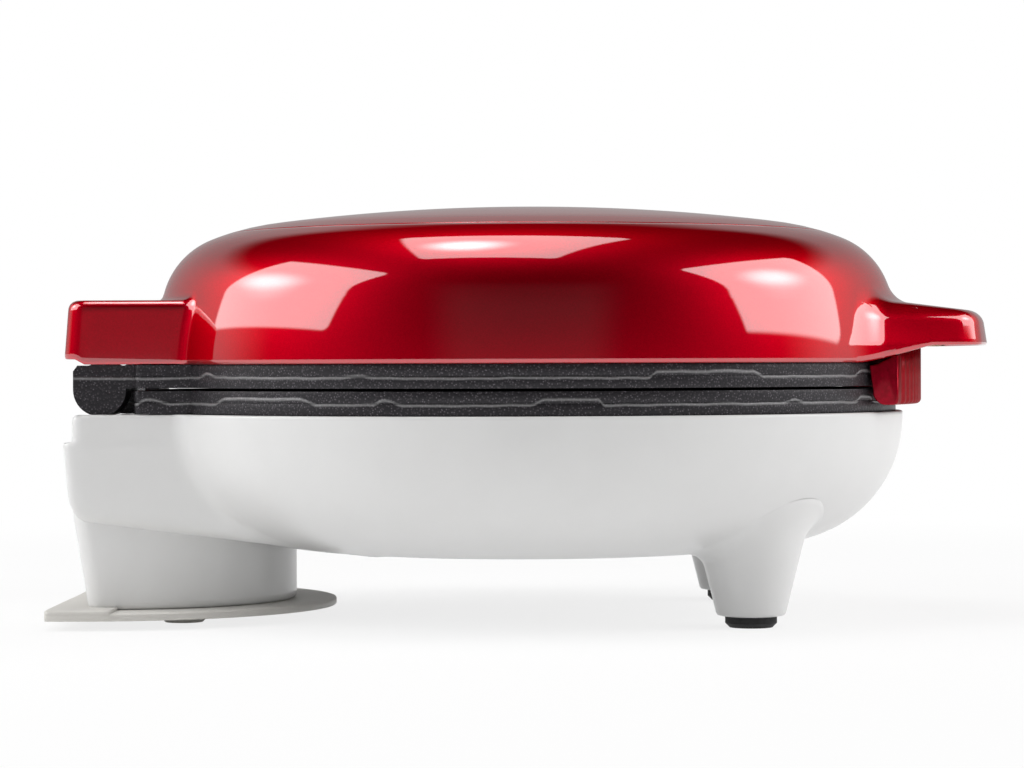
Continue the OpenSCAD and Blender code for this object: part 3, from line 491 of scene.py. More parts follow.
def band_rows(turns):
    """Radii and heights of the rows from the lower edge to the foot of the dome."""
    rays = round_about(turns)
    axis = np.tile([0.0, 0.0, LID_Z + OUTLINE_H], (len(turns), 1))
    outer = along_rays(lid_distance, axis, rays, 90.0, 150.0)
    low = lid_low(outer * rays[:, 0], outer * rays[:, 1])
    wall_r = wall_radius(BAND_TOP)
    first = EDGE_ROWS[-1][1]

    def top_at(r):
        return np.where(rays[:, 0] > 0, handle_top_at(np.maximum(r, HANDLE_ROOT)), BLOCK_H)

    rows = [(outer + inward, low + up) for inward, up in EDGE_ROWS]
    rise = top_at(outer) - low - first
    reach = np.maximum(outer - wall_r, 0.0)
    for step in range(1, BAND_ROWS + 1):
        gone = (rise + reach) * step / BAND_ROWS
        run = np.maximum(gone - rise, 0.0)
        r = outer + (wall_r - outer) * run / np.maximum(reach, 1e-6)
        rows.append((r, np.where(run > 0, top_at(r), low + first + np.minimum(gone, rise))))
    return rows


band = band_rows(turns)
print("rows of the band:", len(band))

# %% [markdown]
# Above the band the rows go up the wall, the shoulder and the haunch. They are spread by the length of the
# curve, so that the quads stay alike.

# %% Rows of the dome
DOME_ROWS = 24
OUTSIDE = 0.4


def dome_rows():
    """Radii and heights of the rows up the wall, the shoulder and the haunch, evenly spread."""
    first = BAND_TOP
    haunch_turn = math.pi / 2 - SHOULDER_SLOPE
    cap_turn = math.pi / 2 - math.asin((CAP_R - haunch_c[0]) / HAUNCH_R)
    wall = max(shoulder_c[1] + SHOULDER_R * math.sin(wall_turn) - first, 0.0)
    shoulder = SHOULDER_R * (haunch_turn - wall_turn)
    haunch = HAUNCH_R * (cap_turn - haunch_turn)
    rows = []
    for gone in np.linspace(0.0, wall + shoulder + haunch, DOME_ROWS):
        if gone < wall:
            r, h = wall_radius(first + gone), first + gone
        elif gone < wall + shoulder:
            slope = math.pi / 2 - wall_turn - (gone - wall) / SHOULDER_R
            r, h = shoulder_c + SHOULDER_R * toward(slope)
        else:
            slope = SHOULDER_SLOPE - (gone - wall - shoulder) / HAUNCH_R
            r, h = haunch_c + HAUNCH_R * toward(slope)
        rows.append((r + OUTSIDE, h))
    return rows


print("rows of the dome:", len(dome_rows()))

# %% [markdown]
# All these rows are settled on the lid's form at once. Last comes a lip that drops round the cap.

# %% The lid's skin
LIP_ROWS = [(0.32, 0.08), (0.18, 0.32), (0.18, 1.6)]


def lid_skin():
    """The whole skin, settled on the lid's form and given its wall."""
    skin = band + dome_rows()
    lip = dome_height(CAP_R + 0.2)
    rows = skin + [(CAP_R + out, lip - drop) for out, drop in LIP_ROWS]
    grid = np.zeros((len(rows), len(turns), 3))
    for index, (r, h) in enumerate(rows):
        grid[index] = round_about(turns) * np.reshape(r, (-1, 1))
        grid[index, :, 2] = LID_Z + h
    flat = settle(lid_distance, grid[:len(skin)].reshape(-1, 3))
    grid[:len(skin)] = flat.reshape(len(skin), len(turns), 3)
    return with_wall(finished(grid_to_mesh(grid), "lid_skin", outward_from=(0, 0, 0.075)))


skin = lid_skin()
print("lid skin:", len(skin.data.vertices), "points")

# %% [markdown]
# ## The cap
# The round cap sits in a recess of the crown. Its profile follows the dome's curve to a small rounded edge,
# and it is spun about the axis, as a turned piece is. A narrow dark joint stays open between it and the lid.

# %% The cap on the crown
CAP_JOINT = 0.12
CAP_EDGE = 0.4
CAP_THICK = 1.8


def spun(name, profile, steps=192, centre=(0.0, 0.0), tilt=0.0):
    """Spins a closed profile of (radius, height) places in millimetres about an upright axis."""
    mesh = bmesh.new()
    line = [mesh.verts.new((r / 1000.0, 0.0, z / 1000.0)) for r, z in profile]
    edges = [mesh.edges.new(pair) for pair in zip(line, line[1:])]
    bmesh.ops.spin(mesh, geom=line + edges, cent=(0, 0, 0), axis=(0, 0, 1), angle=2 * math.pi,
                   steps=steps, use_merge=True)
    bmesh.ops.remove_doubles(mesh, verts=mesh.verts, dist=1e-6)
    pivot = Vector((0.0, 0.0, profile[0][1] / 1000.0))
    bmesh.ops.rotate(mesh, cent=pivot, matrix=Matrix.Rotation(tilt, 3, "Y"), verts=mesh.verts)
    shift = Vector(((centre[0] + AXIS_X) / 1000.0, centre[1] / 1000.0, 0.0))
    bmesh.ops.translate(mesh, vec=shift, verts=mesh.verts)
    return finished(mesh, name)


def cap_profile():
    """From the middle of the top, over the rounded edge, to the middle of the underside."""
    bend_r = CAP_R - CAP_JOINT - CAP_EDGE
    profile = [(float(r), LID_Z + dome_height(r)) for r in range(0, 84, 4)]
    under = [(r, z - CAP_THICK) for r, z in reversed(profile)]
    top = LID_Z + dome_height(bend_r)
    profile.append((bend_r, top))
    for turn in (30, 60, 90):
        out, up = CAP_EDGE * toward(math.radians(turn))
        profile.append((bend_r + out, top - CAP_EDGE + up))
    return profile + [(CAP_R - CAP_JOINT, top - CAP_THICK + 0.1)] + under


cap = spun("crown_cap", cap_profile())
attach(cap, "lid")
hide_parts("lid_cap")
print("cap: edge %.2f mm under its middle" % (cap_profile()[0][1] - cap_profile()[20][1]))

# %% [markdown]
# ## The white base
# The base is a bowl with a squared tail behind it. Both are distances again. The bowl's outline is a drafted
# side, a turn under and a wide belly.

# %% Bowl
RIM_Z = 57.75
BOWL_R = 106.6
BOWL_DRAFT = math.radians(3.1)
BOWL_LOW = 18.4
TURN_UP = np.array([71.449, 55.912])
TURN_UP_R = 35.0
BELLY = np.array([49.404, 151.4])
BELLY_R = 133.0
BELLY_SLOPE = math.radians(13)


def bowl_distance(r, z):
    """Distance from the bowl's outside."""
    side = (r - BOWL_R + (RIM_Z - z) * math.tan(BOWL_DRAFT)) * math.cos(BOWL_DRAFT)
    over_side = z > TURN_UP[1] - (r - TURN_UP[0]) * math.tan(BOWL_DRAFT)
    over_turn = (r - TURN_UP[0]) > (TURN_UP[1] - z) * math.tan(BELLY_SLOPE)
    lower = np.where(r < BELLY[0], BOWL_LOW - z, arc(BELLY, BELLY_R, r, z))
    return np.where(over_side, side, np.where(over_turn, arc(TURN_UP, TURN_UP_R, r, z), lower))


print("bowl: floor at %.1f mm, rim at %.2f mm" % (BOWL_LOW, RIM_Z))

# %% [markdown]
# The tail has an upper wall, and a panel that stands out below a ledge. Its underside slopes up to the rear
# and is well rounded.

# %% Tail
LEDGE_Z = 50.3
TAIL_REAR = 123.0
PANEL_REAR = 125.5
PANEL_LEAN = math.radians(5)
TAIL_CORNER = 2.5
UNDER_X = -48.0
UNDER_Z = 19.6
UNDER_SLOPE = 0.1243
UNDER_COS = 0.992
UNDER_EDGE = 6.5
TAIL_FRONT_X = -40.0
LEDGE_EDGE = 0.8
LEDGE_FILLET = 0.4


def tail_distance(x, y, z):
    """Distance from the squared tail."""
    upper = box_plan(x, y, TAIL_REAR, TAIL_HALF, TAIL_CORNER)
    lean = np.maximum(LEDGE_Z - z, 0.0) * math.tan(PANEL_LEAN)
    panel = box_plan(x, y, PANEL_REAR - lean, TAIL_HALF, TAIL_CORNER)
    body = fillet_join(upper, rounded_cut(panel, z - LEDGE_Z, LEDGE_EDGE), LEDGE_FILLET)
    under = (UNDER_Z - (x - UNDER_X) * UNDER_SLOPE - z) * UNDER_COS
    return np.maximum(rounded_cut(body, under, UNDER_EDGE), x - TAIL_FRONT_X)


print("tail: the panel stands out %.1f mm" % (PANEL_REAR - TAIL_REAR))

# %% [markdown]
# Bowl and tail meet in a soft crease that is sharper low down, and both end at the rim, which dips at the
# rear where the open lid needs room.

# %% Bowl and tail together
NOTCH_DEPTH = 1.15
NOTCH_X = -112.0
NOTCH_HALF = 50.6
CREASE = ([22.0, 33.0], [0.4, 3.0])
RIM_EDGE = ([-118.0, -110.0], [1.8, 0.6])


def rim_height(x, y):
    """Height of the rim, lower between the tail's side walls where the open lid's arms swing."""
    notch = np.clip((NOTCH_X - x) / 4.0, 0.0, 1.0) * np.clip((NOTCH_HALF - np.abs(y)) / 0.8, 0.0, 1.0)
    return RIM_Z - NOTCH_DEPTH * notch


def base_distance(places):
    """Distance from bowl and tail together, as if they were solid."""
    x, y, z = places[:, 0], places[:, 1], places[:, 2]
    shape = fillet_join(bowl_distance(np.hypot(x, y), z), tail_distance(x, y, z), np.interp(z, *CREASE))
    return rounded_cut(shape, z - rim_height(x, y), np.interp(x, *RIM_EDGE))


print("rim: %.2f mm, and %.2f mm at the rear" % (rim_height(0.0, 0.0), rim_height(-120.0, 0.0)))

# %% [markdown]
# For each column of the grid the outline is traced from the rim down and under to the middle. Rays from the
# axis find the side, and rays that dip from level to straight down find the underside.

# %% Trace the outline
SIDE_TRACE = (55.3, 34.0, -0.35)
DIP_Z = 33.8
DIPS = 110


def traced_outline(turns):
    """Dense outlines of the base, one per column, from under the rim to the middle of the bottom."""
    out = round_about(turns)
    lines = []

    def trace(z, rays, near):
        starts = np.tile([0.0, 0.0, z], (len(turns), 1))
        lines.append(starts + rays * along_rays(base_distance, starts, rays, near, 150.0)[:, None])

    for z in np.arange(*SIDE_TRACE):
        trace(z, out, 60.0)
    for share in np.linspace(0.0, 1.0, DIPS):
        dip = math.pi / 2 * share ** 2
        trace(DIP_Z, out * math.cos(dip) - [0.0, 0.0, math.sin(dip)], 5.0)
    return np.array(lines)


outlines = traced_outline(turns)
print("outlines:", outlines.shape[1], "of", outlines.shape[0], "points")

# %% [markdown]
# The rows are then spread along each outline, four times closer on the side, where the edges are. A few rows
# more round the rim.

# %% Spread the rows
BASE_ROWS = 70
BELLY_Z = 25.0
SIDE_CROWDING = 4.0
LAST_SHARE = 0.985
RIM_ROWS = [(1.9, 0.0), (0.75, 0.0), (0.42, 0.03), (0.16, 0.17), (0.03, 0.42), (0.0, 0.9)]


def spread_rows(lines):
    """Picks rows along each traced outline."""
    steps = np.linalg.norm(np.diff(lines, axis=0), axis=2)
    steps *= np.where(lines[1:, :, 2] > BELLY_Z, SIDE_CROWDING, 1.0)
    gone = np.concatenate([np.zeros((1, steps.shape[1])), np.cumsum(steps, axis=0)])
    rows = np.zeros((BASE_ROWS, lines.shape[1], 3))
    for column in range(lines.shape[1]):
        wanted = np.linspace(0.0, gone[-1, column] * LAST_SHARE, BASE_ROWS)
        for axis in range(3):
            rows[:, column, axis] = np.interp(wanted, gone[:, column], lines[:, column, axis])
    return rows


def body_grid(turns):
    """The rows of bowl and tail under a rounded rim."""
    rows = spread_rows(outlines)
    rim = rim_height(rows[0, :, 0], rows[0, :, 1])
    edge = []
    for inward, down in RIM_ROWS:
        places = rows[0] - round_about(turns) * inward
        places[:, 2] = rim - down
        edge.append(places)
    grid = np.concatenate([np.array(edge), rows])
    grid[1:] = settle(base_distance, grid[1:].reshape(-1, 3)).reshape(grid[1:].shape)
    return grid


body_mesh = grid_to_mesh(body_grid(turns))
fill_rims(body_mesh, under=0.03)
body = with_wall(finished(body_mesh, "bowl_and_tail", outward_from=(0, 0, 0.05)))
print("bowl and tail:", len(body.data.vertices), "points")

# %% [markdown]
# The legs are cones that widen into the bowl with a fillet.

# %% Form of a leg
LEG_X = 60.7
LEG_Y = 52.9
LEG_LEAN = math.radians(14)
LEG_FOOT = 3.0
LEG_FOOT_R = 9.2
LEG_FILLET = 4.0
LEG_TOP = 45.0
LEG_FOOT_EDGE = 1.0


def leg_radius(z):
    return LEG_FOOT_R + (z - LEG_FOOT) * math.tan(LEG_LEAN)


def with_legs(places):
    """Distance from the base with its two legs."""
    x, y, z = places[:, 0], places[:, 1], places[:, 2]
    cone = (np.hypot(x - LEG_X, np.abs(y) - LEG_Y) - leg_radius(z)) * math.cos(LEG_LEAN)
    leg = rounded_cut(np.maximum(cone, z - LEG_TOP), LEG_FOOT - z, LEG_FOOT_EDGE)
    return fillet_join(base_distance(places), leg, LEG_FILLET)


print("leg: %.1f mm across at its foot" % (2 * LEG_FOOT_R))

# %% [markdown]
# A leg's lower rows round its foot. Its upper rows lie on the fillet and end just under the bowl's skin, so
# that no edge of them shows.

# %% Legs
LEG_COLUMNS = 96
SOLE_RINGS = (1.5, 5.0, 7.6)
FOOT_LIFTS = (0.1, 0.3, 0.6, 1.0)
BELOW_CREASE = 5.0
FILLET_REACH = 7.0
UNDER_SKIN = 0.25


def leg_grid(side):
    """Rows from the sole up the cone and out along the fillet, a little under the bowl's skin at last."""
    out = round_about(np.arange(LEG_COLUMNS) * 2 * math.pi / LEG_COLUMNS)

    def ring(r, z):
        places = np.array([LEG_X, side * LEG_Y, 0.0]) + out * np.reshape(r, (-1, 1))
        places[:, 2] = z
        return places

    def on_cone(z):
        return ring(leg_radius(z), z)

    crease = last_place(lambda z: base_distance(on_cone(z)) > 0, LEG_FOOT, 50.0, LEG_COLUMNS)
    rows = [ring(r, LEG_FOOT) for r in SOLE_RINGS]
    rows += [on_cone(LEG_FOOT + lift) for lift in FOOT_LIFTS]
    start = LEG_FOOT + FOOT_LIFTS[-1]
    rows += [on_cone(start + (crease - BELOW_CREASE - start) * share) for share in np.linspace(0.1, 1.0, 10)]
    last = rows[-1]
    beyond = settle(base_distance, on_cone(crease) + out * FILLET_REACH)
    rows += [last + (beyond - last) * share for share in np.linspace(0.1, 1.0, 12)]
    grid = np.array(rows)
    grid[2:] = settle(with_legs, grid[2:].reshape(-1, 3)).reshape(grid[2:].shape)
    grid[-1] -= UNDER_SKIN * slope_of(base_distance, grid[-1])
    return grid


legs = []
for side in (-1, 1):
    leg_mesh = grid_to_mesh(leg_grid(side))
    fill_rims(leg_mesh, under=0.004)
    centre = ((LEG_X + AXIS_X) / 1000, side * LEG_Y / 1000, 0.015)
    legs.append(finished(leg_mesh, "leg", outward_from=centre))
print("legs:", [len(leg.data.vertices) for leg in legs])

# %% [markdown]
# The pedestal stands under the tail, and the cord is wound round it. In plan it is a D: round in front,
# square behind, and it leans in toward its foot at the rear, with a rounded lower edge.

# %% Pedestal
FLANGE_TOP = 4.6
PEDESTAL_REAR = 119.4
PEDESTAL_LEAN = 0.163
PEDESTAL_HALF = 49.0
PEDESTAL_ROUND_X = -115.2
PEDESTAL_CORNER = 5.0
PEDESTAL_EDGE = 1.4
PEDESTAL_COLUMNS = 240
PEDESTAL_ROWS = (12.0, 15.0, 18.0, 21.0, 24.0, 27.0, 30.0, 32.0)
PEDESTAL_FOOT = [(2.6, 0.0), (1.4, 0.15), (0.6, 0.6), (0.15, 1.4), (0.0, 2.2)]


def pedestal_distance(places):
    """Distance from the pedestal, as if it were solid."""
    x, y, z = places[:, 0], places[:, 1], places[:, 2]
    rear = PEDESTAL_REAR + (z - FLANGE_TOP) * PEDESTAL_LEAN
    squared = box_plan(x, y, rear, PEDESTAL_HALF, PEDESTAL_CORNER)
    front = np.hypot(x - PEDESTAL_ROUND_X, y) - PEDESTAL_HALF
    round_front = np.where(x > PEDESTAL_ROUND_X, front, squared)
    return rounded_cut(np.maximum(round_front, squared), FLANGE_TOP - z, PEDESTAL_EDGE)


def pedestal_grid():
    """Rows that round the foot and climb to the tail."""
    out = round_about(np.arange(PEDESTAL_COLUMNS) * 2 * math.pi / PEDESTAL_COLUMNS)

    def traced(z):
        starts = np.tile([-100.0, 0.0, z], (PEDESTAL_COLUMNS, 1))
        return starts + out * along_rays(pedestal_distance, starts, out, 5.0, 70.0)[:, None]

    rows = []
    for inward, lift in PEDESTAL_FOOT:
        row = traced(9.0) - out * inward
        row[:, 2] = FLANGE_TOP + lift
        rows.append(row)
    rows += [traced(z) for z in PEDESTAL_ROWS]
    grid = np.array(rows)
    return settle(pedestal_distance, grid.reshape(-1, 3)).reshape(grid.shape)


pedestal_mesh = grid_to_mesh(pedestal_grid())
fill_rims(pedestal_mesh, under=0.006)
pedestal = finished(pedestal_mesh, "pedestal", outward_from=(-0.1, 0, 0.02))
print("pedestal:", len(pedestal.data.vertices), "points")

# %% [markdown]
# Ribs, arms and other plain parts are bevelled boxes. What is one moulding on the real appliance becomes one
# object, so meshes that were made apart are joined.

# %% Slabs and joining


def plain_slab(name, low, high, edge):
    """A slab with rounded edges, from its lowest to its highest corner in millimetres."""
    mesh = bmesh.new()
    bmesh.ops.create_cube(mesh, size=1.0)
    for vert in mesh.verts:
        for axis in range(3):
            vert.co[axis] = (high if vert.co[axis] > 0 else low)[axis]
    bmesh.ops.bevel(mesh, geom=list(mesh.edges), offset=edge, segments=3, affect="EDGES", profile=0.5,
                    material=-1)
    set_places(mesh, [v.co[:] for v in mesh.verts])
    return finished(mesh, name)


def joined(name, pieces):
    """Several meshes as one object."""
    mesh = bmesh.new()
    for piece in pieces:
        mesh.from_mesh(piece.data)
    data = bpy.data.meshes.new(name)
    mesh.to_mesh(data)
    mesh.free()
    for piece in pieces:
        old = piece.data
        bpy.data.objects.remove(piece)
        bpy.data.meshes.remove(old)
    return linked(name, data)


# %% [markdown]
# Behind the plates a flat deck closes the tail. It is joined to the bowl, the legs and the pedestal, and
# together they stand for the base's housing. Four ribs under the handle carry the latch's pins, and are
# joined to the lid in the same way.

# %% The whole lid and the whole base
RIB_PLACES = (31.6, 41.0)
RIB_THICK = 2.4

ribs = []
for side in (-1, 1):
    for near in RIB_PLACES:
        low, high = sorted((side * near, side * (near + RIB_THICK)))
        ribs.append(plain_slab("rib", (100.3, low, 76.5), (106.7, high, 86.2), 0.2))
lid = joined("lid", [skin] + ribs)
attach(lid, "lid")
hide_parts("lid_shell")

deck = plain_slab("deck", (-121.0, -50.4, 53.7), (-107.2, 50.4, 56.0), 0.3)
base = joined("base_shell", [body, legs[0], legs[1], pedestal, deck])
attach(base, "base")
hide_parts("lower_housing")
print("lid:", len(lid.data.polygons), "faces; base shell:", len(base.data.polygons), "faces")

# %% [markdown]
# ## The cord rest
# The cord rest is a thin plate under the pedestal, wider than it on every side. Its rear part has a raised
# border. Both are slabs whose outline follows a distance in plan, with a small rounded edge.

# %% Cord rest
REST_HALF = 63.4
REST_REAR = 129.0
REST_FRONT_X = -118.2
REST_LOW = 2.6
REST_CORNER = 1.5
REST_EDGE = 0.4
BORDER_FRONT_X = -111.0
BORDER_SUNK = 0.6
BORDER_RISE = 0.8
REST_COLUMNS = 360


def rest_slab(name, front, low, high):
    """A slab of the cord rest's outline that ends at x = front."""
    out = round_about(np.arange(REST_COLUMNS) * 2 * math.pi / REST_COLUMNS)
    starts = np.tile([-120.0, 0.0, 0.0], (REST_COLUMNS, 1))

    def outline(places):
        x, y = places[:, 0], places[:, 1]
        round_front = np.hypot(np.maximum(x - REST_FRONT_X, 0.0), y) - REST_HALF
        squared = box_plan(x, y, REST_REAR, REST_HALF, REST_CORNER)
        return np.maximum(np.maximum(squared, round_front), x - front)

    reach = along_rays(outline, starts, out, 1.0, 120.0)
    upper = [(6.0, high), (0.5, high), (0.15, high - 0.12), (0.0, high - REST_EDGE)]
    lower = [(0.0, low + 0.3), (0.3, low), (6.0, low)]
    rows = []
    for inward, z in upper + lower:
        row = starts + out * np.maximum(reach - inward, 1.0)[:, None]
        row[:, 2] = z
        rows.append(row)
    mesh = grid_to_mesh(np.array(rows))
    fill_rims(mesh)
    return finished(mesh, name)


plate = rest_slab("rest_plate", 0.0, REST_LOW, FLANGE_TOP)
border = rest_slab("rest_border", BORDER_FRONT_X, FLANGE_TOP - BORDER_SUNK, FLANGE_TOP + BORDER_RISE)
cord_rest = joined("cord_rest", [plate, border])
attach(cord_rest, "base")
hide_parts("cord_wrap_plate")
print("cord rest:", len(cord_rest.data.polygons), "faces")

# %% [markdown]
# ## The latch
# The latch hangs under the handle. Its front wall follows the dome's circle, has shallow upright flutes for
# the fingertips and rises into the handle's hollow.

# %% Section of the latch
LATCH_R = 111.7
LATCH_IN = 109.3
LATCH_HALF = 49.3
LATCH_Z = 59.7
LATCH_LOW_R = 1.4
LATCH_END_R = 1.2
FLUTES = 21
FLUTE_TURN = math.radians(2.3)
FLUTE_DEPTH = 0.55
HANDLE_END = 45.2
WALL_TOPS = ([31.0, 31.5, 45.0, 45.5], [76.6, 75.2, 75.2, 74.0])
ABOVE_LATCH = 0.15


def flute_depth(turn):
    """How deep the flutes cut in, at an angle about the dome's axis."""
    step = turn / FLUTE_TURN
    if abs(round(step)) > FLUTES // 2:
        return 0.0
    return FLUTE_DEPTH * math.cos(math.pi * (step - round(step))) ** 2


def latch_section(y):
    """The closed section of the front wall at one place across, as (radius, height) places."""
    side = abs(y)
    free = float(np.interp(side, *WALL_TOPS))
    tops = [free, free]
    if side > HANDLE_END:
        tops = [min(free, LID_Z + (r - LID_R) * UNDER_HANDLE - ABOVE_LATCH) for r in (LATCH_IN, LATCH_R)]
    past_end = max(side - (LATCH_HALF - LATCH_END_R), 0.0)
    outer = LATCH_R - flute_depth(math.asin(y / LATCH_R))
    outer -= LATCH_END_R - math.sqrt(max(LATCH_END_R ** 2 - past_end ** 2, 0.0))
    section = [(LATCH_IN, LATCH_Z + 0.4), (LATCH_IN + 0.4, LATCH_Z)]
    for step in range(7):
        out, up = LATCH_LOW_R * toward(math.radians(180 - 15 * step))
        section.append((outer - LATCH_LOW_R + out, LATCH_Z + LATCH_LOW_R + up))
    section += [(outer, 64.0), (outer, 68.0), (outer, tops[1] - 0.3), (outer - 0.3, tops[1])]
    return section + [(LATCH_IN + 0.3, tops[0]), (LATCH_IN, tops[0] - 0.3), (LATCH_IN, 66.0)]


print("a section has", len(latch_section(0.0)), "points")

# %% [markdown]
# A tube of quads carries the wall: the columns go round its section, and the rows from one cheek to the
# other.

# %% Latch front wall
LATCH_ROWS = np.linspace(-47.8, 47.8, 340)
LATCH_END_ROWS = np.array([48.2, 48.6, 48.9, 49.1])


def latch_wall():
    """The front wall, with fine rows for its flutes and a few more for each rounded end."""
    grid = []
    for y in np.concatenate([-LATCH_END_ROWS[::-1], LATCH_ROWS, LATCH_END_ROWS]):
        grid.append([(math.sqrt(r * r - y * y), y, z) for r, z in latch_section(float(y))])
    mesh = grid_to_mesh(np.array(grid))
    fill_rims(mesh)
    return finished(mesh, "latch_wall")


wall = latch_wall()
print("latch wall:", len(wall.data.polygons), "faces")

# %% [markdown]
# The cheeks close the latch's ends and pass the lower plate with a rounded corner. They follow the dome's
# circle inward too, so that they clear the plates when the latch is pressed.

# %% Latch cheeks
CHEEK_THICK = 2.4
CHEEK_R = 3.6
CHEEK_CORNER_X = 97.4
CHEEK_EDGE = 0.55
CHEEK_REAR = [(92.9, 70.6), (93.9, LATCH_Z + CHEEK_R)]
CHEEK_FOOT = [(99.6, LATCH_Z), (100.5, LATCH_Z + 0.5), (100.7, LATCH_Z + 1.4)]
CHEEK_TOP = [(100.7, 73.2), (97.2, 71.9), (95.2, 70.9)]


def cheek(side):
    """The flat end of the latch, with its rounded corner where it passes the lower plate."""
    outline = list(CHEEK_REAR)
    for step in range(1, 8):
        out, up = CHEEK_R * toward(math.radians(-90 - 90 * step / 7))
        outline.append((CHEEK_CORNER_X + out, LATCH_Z + CHEEK_R + up))
    outline += CHEEK_FOOT + CHEEK_TOP
    mesh = bmesh.new()
    face = mesh.faces.new([mesh.verts.new((x, side * LATCH_HALF, z)) for x, z in outline])
    grown = bmesh.ops.extrude_face_region(mesh, geom=[face], use_keep_orig=True)
    inner = LATCH_HALF - CHEEK_THICK
    for vert in grown["geom"]:
        if isinstance(vert, bmesh.types.BMVert):
            across = math.sqrt(vert.co.x ** 2 + LATCH_HALF ** 2 - inner ** 2)
            vert.co = (across, side * inner, vert.co.z)
    edges = [e for e in mesh.edges if all(abs(v.co.y - side * LATCH_HALF) < 0.01 for v in e.verts)]
    bmesh.ops.bevel(mesh, geom=edges, offset=CHEEK_EDGE, segments=3, affect="EDGES", profile=0.5,
                    material=-1)
    set_places(mesh, [v.co[:] for v in mesh.verts])
    return finished(mesh, "cheek")


cheeks = {side: cheek(side) for side in (-1, 1)}
print("cheeks:", [len(piece.data.polygons) for piece in cheeks.values()])

# %% [markdown]
# A hook goes under the lower plate's rim, and two arms carry the barrels that turn on the pins. All of it is
# one moulding with the front wall.

# %% Latch arms and hook
PIN_X = 103.5
PIN_Z = 79.5
ARM_LOW = 34.2
ARM_HIGH = 40.8
BARREL_IN = 1.35
BARREL_OUT = 3.0


def barrel(side):
    """A hinge barrel of the latch, spun about its pin."""
    mesh = bmesh.new()
    corners = [(BARREL_IN, ARM_LOW), (BARREL_OUT, ARM_LOW), (BARREL_OUT, ARM_HIGH), (BARREL_IN, ARM_HIGH)]
    line = [mesh.verts.new((PIN_X + r, side * y, PIN_Z)) for r, y in corners]
    edges = [mesh.edges.new((line[i], line[(i + 1) % 4])) for i in range(4)]
    bmesh.ops.spin(mesh, geom=line + edges, cent=(PIN_X, 0, PIN_Z), axis=(0, 1, 0), angle=2 * math.pi,
                   steps=32, use_merge=True)
    set_places(mesh, [v.co[:] for v in mesh.verts])
    return finished(mesh, "barrel")


parts = [wall, plain_slab("hook", (105.0, -12.0, 60.5), (109.9, 12.0, 62.1), 0.3)]
for side in (-1, 1):
    low, high = sorted((side * ARM_LOW, side * ARM_HIGH))
    arm = plain_slab("arm", (100.9, low, 69.8), (103.4, high, 77.6), 0.2)
    parts += [cheeks[side], barrel(side), arm]
latch = joined("latch_cover", parts)
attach(latch, "latch")
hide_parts("latch")
print("latch:", len(latch.data.polygons), "faces")

# %% [markdown]
# Two little lenses sit in the handle's top, a hair above it, and turn with the lid. Each is a flat drop,
# spun from its profile and tilted with the handle.

# %% Lamp lenses
LENS_X = 116.0
LENS_Y = 7.5
LENS_R = 2.5
LENS_PROUD = 0.15
LENS_LOW = 1.6


def lens(name, side):
    top = LID_Z + handle_top_at(LENS_X) + LENS_PROUD
    profile = [(0.0, 0.0), (1.2, 0.05), (2.0, 0.16), (2.4, 0.3), (LENS_R, 0.55), (LENS_R, LENS_LOW),
               (0.0, LENS_LOW)]
    piece = spun(name + "_cover", [(r, top - down) for r, down in profile], 64, (LENS_X, side * LENS_Y),
                 HANDLE_FALL)
    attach(piece, "lid")
    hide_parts(name + "_lamp_lens")
    return piece


power_lens = lens("power", -1)
ready_lens = lens("ready", 1)
print("lenses:", len(power_lens.data.vertices), "points each")

# %% [markdown]
# ## Materials
# Every finish is made of nodes in object coordinates, so that it stays on its piece. The helpers build the
# shader and let its colour waver between two shades, as paint and plastic do. Each finish then adds what sets
# it apart: flakes under lacquer, the grain of the non-stick coat, or the faint unevenness of a moulding.

# %% Node helpers


def wired(tree, kind, *sources, **settings):
    """A node with its sources linked or set in order, and its settings made."""
    node = tree.nodes.new(kind)
    for setting, value in settings.items():
        setattr(node, setting, value)
    for socket, source in zip(node.inputs, sources):
        if isinstance(source, bpy.types.NodeSocket):
            tree.links.new(source, socket)
        else:
            socket.default_value = source
    return node


def number(tree, operation, *values):
    return wired(tree, "ShaderNodeMath", *values, operation=operation).outputs[0]


def vector(tree, operation, *values):
    """The result of a sum on vectors, which for three of the sums is a plain number."""
    node = wired(tree, "ShaderNodeVectorMath", *values, operation=operation)
    plain = operation in ("LENGTH", "DISTANCE", "DOT_PRODUCT")
    return node.outputs["Value" if plain else "Vector"]


def ranged(tree, value, low, high, to_low, to_high, kind="SMOOTHSTEP"):
    """Maps one range of values softly to another."""
    node = wired(tree, "ShaderNodeMapRange", value, low, high, to_low, to_high, interpolation_type=kind)
    return node.outputs["Result"]


print("helpers ready for", len(nodes), "nodes to be finished")

# %% [markdown]
# Noise and ramps give the small wavering of real surfaces. The noise is measured in object coordinates, so
# that it has the same grain on every piece.

# %% Noise and ramps


def noise(tree, cells, detail=2.0, stretch=(1.0, 1.0, 1.0)):
    """Noise in object coordinates, of so many cells per metre."""
    mapping = wired(tree, "ShaderNodeMapping", wired(tree, "ShaderNodeTexCoord").outputs["Object"])
    mapping.inputs["Scale"].default_value = stretch
    texture = wired(tree, "ShaderNodeTexNoise", mapping.outputs["Vector"])
    texture.inputs["Scale"].default_value = cells
    texture.inputs["Detail"].default_value = detail
    return texture.outputs["Fac"]


def ramp(tree, source, stops):
    """Turns a value into a colour."""
    node = wired(tree, "ShaderNodeValToRGB", source)
    elements = node.color_ramp.elements
    elements[0].position, elements[0].color = stops[0][0], (*stops[0][1], 1.0)
    elements[1].position, elements[1].color = stops[-1][0], (*stops[-1][1], 1.0)
    for position, colour in stops[1:-1]:
        elements.new(position).color = (*colour, 1.0)
    return node.outputs["Color"]


print("noise of 500 cells per metre has cells of %.1f mm" % (1000.0 / 500.0))

